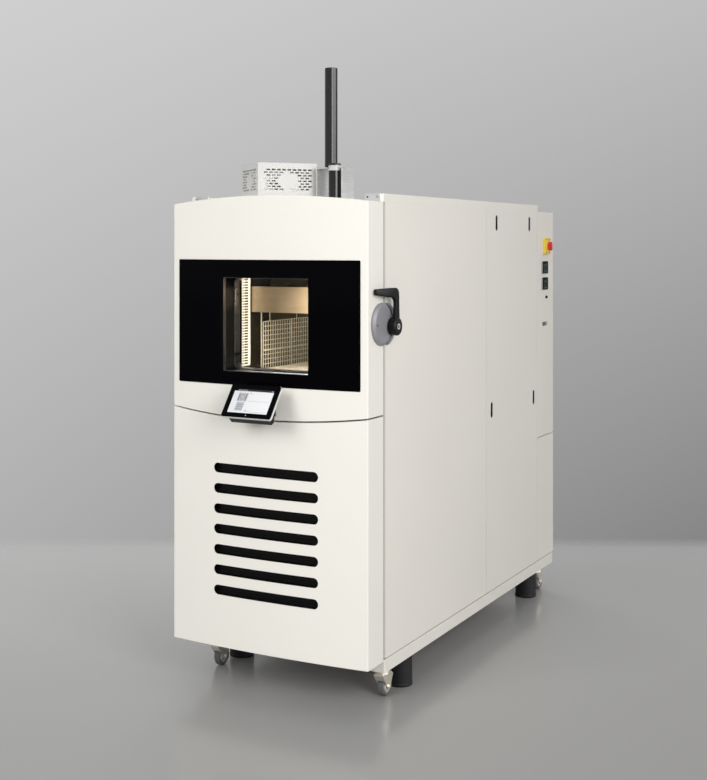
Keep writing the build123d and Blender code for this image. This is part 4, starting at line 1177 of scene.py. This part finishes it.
@dataclass
class LatchLever:
    """The black lever with its hub and cap, and the screw on the grey disc."""

    pivot: Span = (DOOR_PLANE + 0.020, 1.424)
    inner: float = 0.4504
    outer: float = 0.484
    arm: Span = (0.466, 0.481)
    half_wide: float = 0.013
    below: float = 0.018
    above: float = 0.017
    flare: float = 1.45
    rise: float = 0.128
    reach: float = 0.120
    elbow: float = 0.035
    taper: float = 0.62
    bend: float = 0.024
    rounding: float = 0.0045
    hub: float = 0.034
    cap: float = 0.011
    disc_screw: Point = (SIDE + 0.0148, DOOR_PLANE - 0.086, 1.432)

    def build(self) -> None:
        """Models the lever, its hub and cap, and the screw of the disc."""
        y, z = self.pivot
        hub = drum("hub", ((self.inner + self.outer) / 2, y, z), self.hub, self.outer - self.inner, Along.X, 0.006)
        piece = unite("latch_lever", [self.lever(), hub], BLACK_PLASTIC, "lever")
        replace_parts(piece, "lever_handle")
        cap = drum("lever_cap", (self.outer - 0.0009, y, z), self.cap, 0.003, Along.X, 0.0008)
        recess(cap, (1, 0, 0), 0.003, 0.0006)
        dress(cap, CAP_WHITE, "lever")
        unite("disc_screw", [screw(self.disc_screw, Along.X, 0.0036, 0.0012)], DARK_METAL, "door")

    def lever(self) -> Piece:
        """Models the lever from one block at its elbow, extruded into the arm and the grip."""
        (y, z), (near, far) = self.pivot, self.arm
        top = z + self.rise

        def is_elbow(edge: bmesh.types.BMEdge) -> bool:
            middle = (edge.verts[0].co + edge.verts[1].co) / 2
            inner = y - 0.03 < middle.y < y - 0.005 and top - 0.03 < middle.z < top - 0.01
            return runs_along(edge, Along.X.way) and (inner or middle.y > y + 0.005 and middle.z > top)

        lever = block("lever", (near, y - self.half_wide, top - self.below),
                      (far, y + self.half_wide, top + self.above))
        with editing(lever) as mesh:
            pick(lever, mesh, lambda face: face.normal.z < -0.99)
            down = (0, 0, self.below - self.rise)
            bpy.ops.mesh.extrude_region_move(TRANSFORM_OT_translate={"value": down})
            bpy.ops.transform.resize(value=(1.0, self.flare, 1.0), center_override=(near, y, z))
        with editing(lever) as mesh:
            pick(lever, mesh, lambda face: face.normal.y < -0.95 and face.calc_center_median().z > top - 0.02)
            for way in ((-0.009, -self.elbow, 0.0), (-0.018, self.half_wide - self.reach + self.elbow, 0.003)):
                bpy.ops.mesh.extrude_region_move(TRANSFORM_OT_translate={"value": way})
            tip = (near - 0.02, y - self.reach, top + 0.004)
            bpy.ops.transform.resize(value=(1.0, 1.0, self.taper), center_override=tip)
        round_edges(lever, self.bend, 7, is_elbow)
        round_edges(lever, self.rounding, 3,
                    lambda edge: edge.is_manifold and edge.calc_face_angle(0) > math.radians(55))
        smooth(lever, 50)
        return lever


class Segments:
    """Seven-segment figures of thin bars."""

    shapes = {"0": "abcdef", "1": "bc", "2": "abged", "4": "fgbc", "5": "afgcd", "8": "abcdefg", "-": "g"}

    @classmethod
    def figures(cls, text: str, x: float, y: float, z: float, high: float) -> list[Piece]:
        """Models figures that read along +Y on a face that looks to +X.

        Args:
            text: the figures.
            x: the face.
            y, z: the lower corner where the first one starts.
            high: their height.

        Returns:
            One object for each bar.
        """
        wide, thin, half = high * 0.52, high * 0.13, high / 2
        bars = {"a": (0, high - thin, wide, high), "g": (0, (high - thin) / 2, wide, (high + thin) / 2),
                "d": (0, 0, wide, thin), "b": (wide - thin, half, wide, high), "c": (wide - thin, 0, wide, half),
                "f": (0, half, thin, high), "e": (0, 0, thin, half)}
        made = []
        for place, letter in enumerate(text):
            start = y + place * wide * 1.5
            for bar in cls.shapes[letter]:
                y0, z0, y1, z1 = bars[bar]
                made.append(block("bar", (x - 0.0002, start + y0, z + z0), (x + 0.0003, start + y1, z + z1),
                                  thin * 0.1, 1))
        return made


@dataclass
class RearInstruments:
    """The limit controllers, the port, the sockets and the main switch's marks."""

    face: float = SIDE + 0.008
    strip: float = DOOR_PLANE + 1.772
    controllers: Span = (1.616, 1.536)
    shift: float = 0.020
    body: Span = (0.0375, 0.030)
    bezel: Span = (0.038, 0.0305)
    glass: Span = (0.0355, 0.028)
    texts: tuple[str, str] = ("0850", "-400")
    second_text: str = "120"
    text_start: float = 0.026
    key: Span = (0.006, 0.004)
    key_place: Span = (-0.020, -0.0205)
    key_step: float = 0.018
    port: float = 1.468
    sockets: float = 1.336
    socket_shifts: Point = (-0.034, -0.009, 0.016)
    socket: Span = (0.0058, 0.0095)
    switch: float = 1.721
    switch_face: float = SIDE + 0.014
    switch_screws: Span = (0.028, 0.033)

    def build(self) -> None:
        """Models everything on the right rear strip."""
        self.limit_controllers()
        port = drum("test_port_cap", (SIDE + 0.0035, self.strip + 0.008, self.port), 0.0072, 0.009, Along.X, 0.0012)
        recess(port, (1, 0, 0), 0.0022, 0.002)
        dress(port, BLACK_PLASTIC, "cabinet")
        for index, shift in enumerate(self.socket_shifts):
            socket = side_plate(f"socket_{index}", (SIDE - 0.001, SIDE + 0.0032),
                                (self.strip + shift, self.sockets), self.socket, 0.002, 0.0005)
            recess(socket, (1, 0, 0), 0.0016, 0.002)
            dress(socket, KEY_GREY if index == 2 else BLACK_PLASTIC, "cabinet")
        self.switch_trim()

    def limit_controllers(self) -> None:
        """Models the two controllers with their bezels, keys and figures."""
        bodies, bezels, keys, figures = [], [], [], []
        x, y = self.face, self.strip - self.shift
        for text, z in zip(self.texts, self.controllers):
            bodies.append(side_plate("body", (SIDE - 0.001, x - 0.0012), (y, z), self.body, 0.003, 0.0008))
            bezels.append(side_plate("bezel", (x - 0.0016, x + 0.0012), (y, z), self.bezel, 0.004, 0.0008, 0.0035))
            bezels.append(side_plate("glass", (x - 0.0016, x), (y, z), self.glass, 0.002, 0.0002))
            figures += Segments.figures(text, x, y - self.text_start, z + 0.002, 0.016)
            figures += Segments.figures(self.second_text, x, y - self.text_start, z - 0.012, 0.009)
            for step in range(3):
                middle = (y + self.key_place[0] + step * self.key_step, z + self.key_place[1])
                keys.append(side_plate("key", (x - 0.0005, x + 0.0016), middle, self.key, 0.002, 0.0005))
        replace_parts(unite("controller_bodies", bodies, KEY_GREY, "cabinet"), "rear_instruments")
        unite("controller_bezels", bezels, BLACK_GLASS, "cabinet")
        unite("controller_keys", keys, DARK_METAL, "cabinet")
        unite("controller_figures", figures, DIGITS, "cabinet")

    def switch_trim(self) -> None:
        """Models the switch's two position marks, plate screws and grip mark."""
        x, y, z = self.switch_face, self.strip, self.switch
        marks = [block("bar", (x - 0.0002, y - 0.0012, z + 0.031), (x + 0.0005, y + 0.0012, z + 0.0375), 0.0003, 1),
                 side_plate("ring", (x - 0.0002, x + 0.0005), (y + 0.032, z), (0.0025, 0.0035), 0.0022, 0.0, 0.001)]
        unite("switch_marks", marks, SHADE_AND_PRINT_BLACK, "cabinet")
        wide, tall = self.switch_screws
        screws = [screw((x, y + dy, z + dz), Along.X, 0.0035, 0.0012) for dy in (-wide, wide) for dz in (-tall, tall)]
        unite("switch_screws", screws, DARK_METAL, "cabinet")
        grip = side_plate("switch_grip_mark", (SIDE + 0.0358, SIDE + 0.0368), (y, z + 0.012), (0.0012, 0.006), 0.001,
                          0.0002)
        dress(grip, CAP_WHITE, "main_switch")


@dataclass
class FloorGear:
    """Caster hubs, nuts, plates and bolts, and the pads of the levelling feet."""

    wheel: float = 0.0375
    half_wide: float = 0.014
    hub: float = 0.0255
    nut: float = 0.0085
    race: float = 0.0325
    race_z: float = 0.1175
    side: float = 0.376
    rows: tuple[tuple[str, float], ...] = (("front", DOOR_PLANE + 0.094), ("rear", DOOR_PLANE + 1.795))
    trail: float = 0.022
    plate: float = 0.043
    bolt_place: float = 0.035
    foot_x: float = 0.370
    foot_rows: Span = (DOOR_PLANE + 0.259, DOOR_PLANE + 1.669)
    skirt: float = 0.127

    def build(self) -> None:
        """Models the gear at each corner."""
        for row, y in self.rows:
            for word, x in (("left", -self.side), ("right", self.side)):
                self.caster(f"{row}_{word}", x, y)
        pads = []
        for y in self.foot_rows:
            for x in (-self.foot_x, self.foot_x):
                pads.append(drum("pad", (x, y, 0.007), 0.0515, 0.014, Along.Z, 0.004))
                pads.append(drum("collar", (x, y, 0.060), 0.0507, 0.004, Along.Z, 0.0012))
        unite("foot_pads", pads, RUBBER, "cabinet")

    def caster(self, corner: str, x: float, y: float) -> None:
        """Models one caster's hub discs, axle nuts, race, plate and bolts."""
        axle, metal = (y + self.trail, self.wheel), "caster_metal"
        inner, outer = self.half_wide - 0.003, self.half_wide + 0.008
        hubs = [drum("hub", (x + shift, *axle), self.hub, 0.005, Along.X, 0.001) for shift in (-inner, inner)]
        unite(f"wheel_hub_{corner}", hubs, SATIN_NICKEL, f"wheel_{corner}")
        nuts = [drum("nut", (x + shift, *axle), self.nut, 0.005, Along.X, 0.001, 6) for shift in (-outer, outer)]
        nuts.append(drum("race", (x, y, self.race_z), self.race, 0.006, Along.Z, 0.002))
        unite(f"caster_nuts_{corner}", nuts, SATIN_NICKEL, f"caster_{corner}")
        mount = [plate("plate", (x - self.plate, y - self.plate, self.skirt - 0.0045),
                       (x + self.plate, y + self.plate, self.skirt - 0.0005), Along.Z, 0.008, 0.001)]
        for dx in (-self.bolt_place, self.bolt_place):
            for dy in (-self.bolt_place, self.bolt_place):
                bolt = (x + dx, y + dy, self.skirt - 0.0065)
                mount.append(drum("bolt", bolt, 0.0055, 0.005, Along.Z, 0.0008, 6))
        unite(f"caster_plate_{corner}", mount, SATIN_NICKEL, "cabinet")


@dataclass
class CasingDetails:
    """Latch rings and levers, screws of the panels and hinges, rail ends and rear services."""

    latches: tuple[Span, ...] = ((1.122, 1.827), (1.545, 1.827), (1.063, 0.988), (1.603, 0.988))
    ring: Span = (0.0165, 0.0385)
    key: Span = (0.0085, 0.016)
    back: float = 1.093
    back_screws: tuple[Sequence[float], Sequence[float]] = ((-0.39, -0.13, 0.13, 0.39), (0.20, 0.62, 1.04, 1.46, 1.87))
    roof_screws: tuple[Sequence[float], Sequence[float]] = ((-0.385, 0.385), (-0.72, -0.3, 0.2, 0.62, 1.04))
    bracket_y: float = DOOR_PLANE - 0.0072
    bracket_screws: Span = (0.026, 0.068)
    rail_end: Span = (0.0005, 0.0295)
    gland_low: Span = (0.20, 0.235)
    gland_high: Span = (0.34, 0.325)
    services_z: float = 0.28
    glands: tuple[Span, ...] = ((0.245, 0.024), (0.300, 0.015))
    unions: Span = (-0.30, -0.22)
    hinge_x: float = -SIDE - 0.0042
    hinge_rows: Point = (1.210, 1.480, 1.750)
    hinge_offset: float = 0.013
    fixed_screws: Span = (0.018, 0.038)
    moving_screws: Span = (-0.022, -0.046)

    def build(self) -> None:
        """Models the details of the sides, top and back."""
        self.latch_rings()
        self.panel_screws()
        self.rail_ends()
        self.services()
        self.hinge_screws(self.fixed_screws, -self.hinge_offset, "cabinet")
        self.hinge_screws(self.moving_screws, self.hinge_offset, "door")

    def latch_rings(self) -> None:
        """Models the rim and the lever of every flush latch."""
        rings, keys = [], []
        for side in (-1, 1):
            x = side * SIDE
            for t, z in self.latches:
                y = DOOR_PLANE + t
                rings.append(side_plate("ring", (x - side * 0.0005, x + side * 0.0011), (y, z), self.ring, 0.0163,
                                        0.0004, 0.003))
                keys.append(side_plate("key", (x - side * 0.004, x - side * 0.010), (y, z + 0.010), self.key, 0.0082,
                                       0.0015))
        unite("latch_rings", rings, SIDE_WHITE, "cabinet")
        unite("latch_levers", keys, BLACK_PLASTIC, "cabinet")

    def panel_screws(self) -> None:
        """Models the screws of the rear panel and the roof."""
        (columns, rows), (sides, depths) = self.back_screws, self.roof_screws
        screws = [screw((x, self.back + 0.0006, z), Along.Y, 0.005, 0.0018) for x in columns for z in rows]
        screws += [screw((x, y, ROOF + 0.0005), Along.Z, 0.005, 0.0022) for x in sides for y in depths]
        unite("panel_screws", screws, ZINC, "cabinet")

    def rail_ends(self) -> None:
        """Models the roof rails' front brackets: their screws and the rails' end caps."""
        heads = [screw((side * (SIDE - step), self.bracket_y, ROOF + 0.020), Along.Y, 0.0042, 0.0014)
                 for side in (-1, 1) for step in self.bracket_screws]
        unite("rail_bracket_screws", heads, DARK_METAL, "cabinet")
        ends = []
        for side in (-1, 1):
            near, far = sorted(side * (SIDE - step) for step in self.rail_end)
            ends.append(plate("end", (near, self.bracket_y - 0.0008, ROOF + 0.0005),
                              (far, self.bracket_y + 0.0008, ROOF + 0.0315), Along.Y, 0.0015, 0.0004))
        unite("rail_end_caps", ends, SIDE_WHITE, "cabinet")

    def services(self) -> None:
        """Models the mains gland and the water unions on the back."""
        (x0, z0), (x1, z1), z = self.gland_low, self.gland_high, self.services_z
        gland = [plate("plate", (x0, self.back - 0.002, z0), (x1, self.back + 0.001, z1), Along.Y, 0.008, 0.0006)]
        for x, radius in self.glands:
            ring = drum("ring", (x, self.back + 0.0005, z), radius, 0.005, Along.Y, 0.001)
            recess(ring, (0, 1, 0), radius * 0.25, 0.003)
            gland.append(ring)
        unite("mains_gland", gland, BLACK_PLASTIC, "cabinet")
        unions = []
        for x in self.unions:
            pipe = drum("pipe", (x, self.back + 0.0008, z), 0.015, 0.0044, Along.Y, 0.0008)
            recess(pipe, (0, 1, 0), 0.003, 0.0036)
            unions += [drum("nut", (x, self.back, z), 0.023, 0.003, Along.Y, 0.0006, 6), pipe]
        unite("water_unions", unions, SATIN_NICKEL, "cabinet")

    def hinge_screws(self, places: Span, lift: float, body: str) -> None:
        """Models the screws of the hinge leaves on one body."""
        screws = [screw((self.hinge_x, DOOR_PLANE + t, z + lift), Along.X, 0.003, 0.0014)
                  for z in self.hinge_rows for t in places]
        unite(f"hinge_screws_{body}", screws, ZINC, body)


def paint_frame(frame: dict) -> None:
    """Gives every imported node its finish.
    """
    for finish, names in CAD_FINISHES.items():
        for name in names.split():
            node = frame["nodes"][name]
            node.data.materials.clear()
            node.data.materials.append(finish.material())


def main() -> None:
    """Builds the looks in order."""
    logging.basicConfig(level=logging.INFO, format="%(message)s")
    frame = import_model()
    paint_frame(frame)
    for part in (Studio(), TouchDisplay(), WireBasket(), TestSpace(), WindowTrim(), LatchLever(), RearInstruments(),
                 FloorGear(), CasingDetails()):
        log.info("building %s", type(part).__name__)
        part.build()
    clear()


if __name__ == "__main__":
    main()
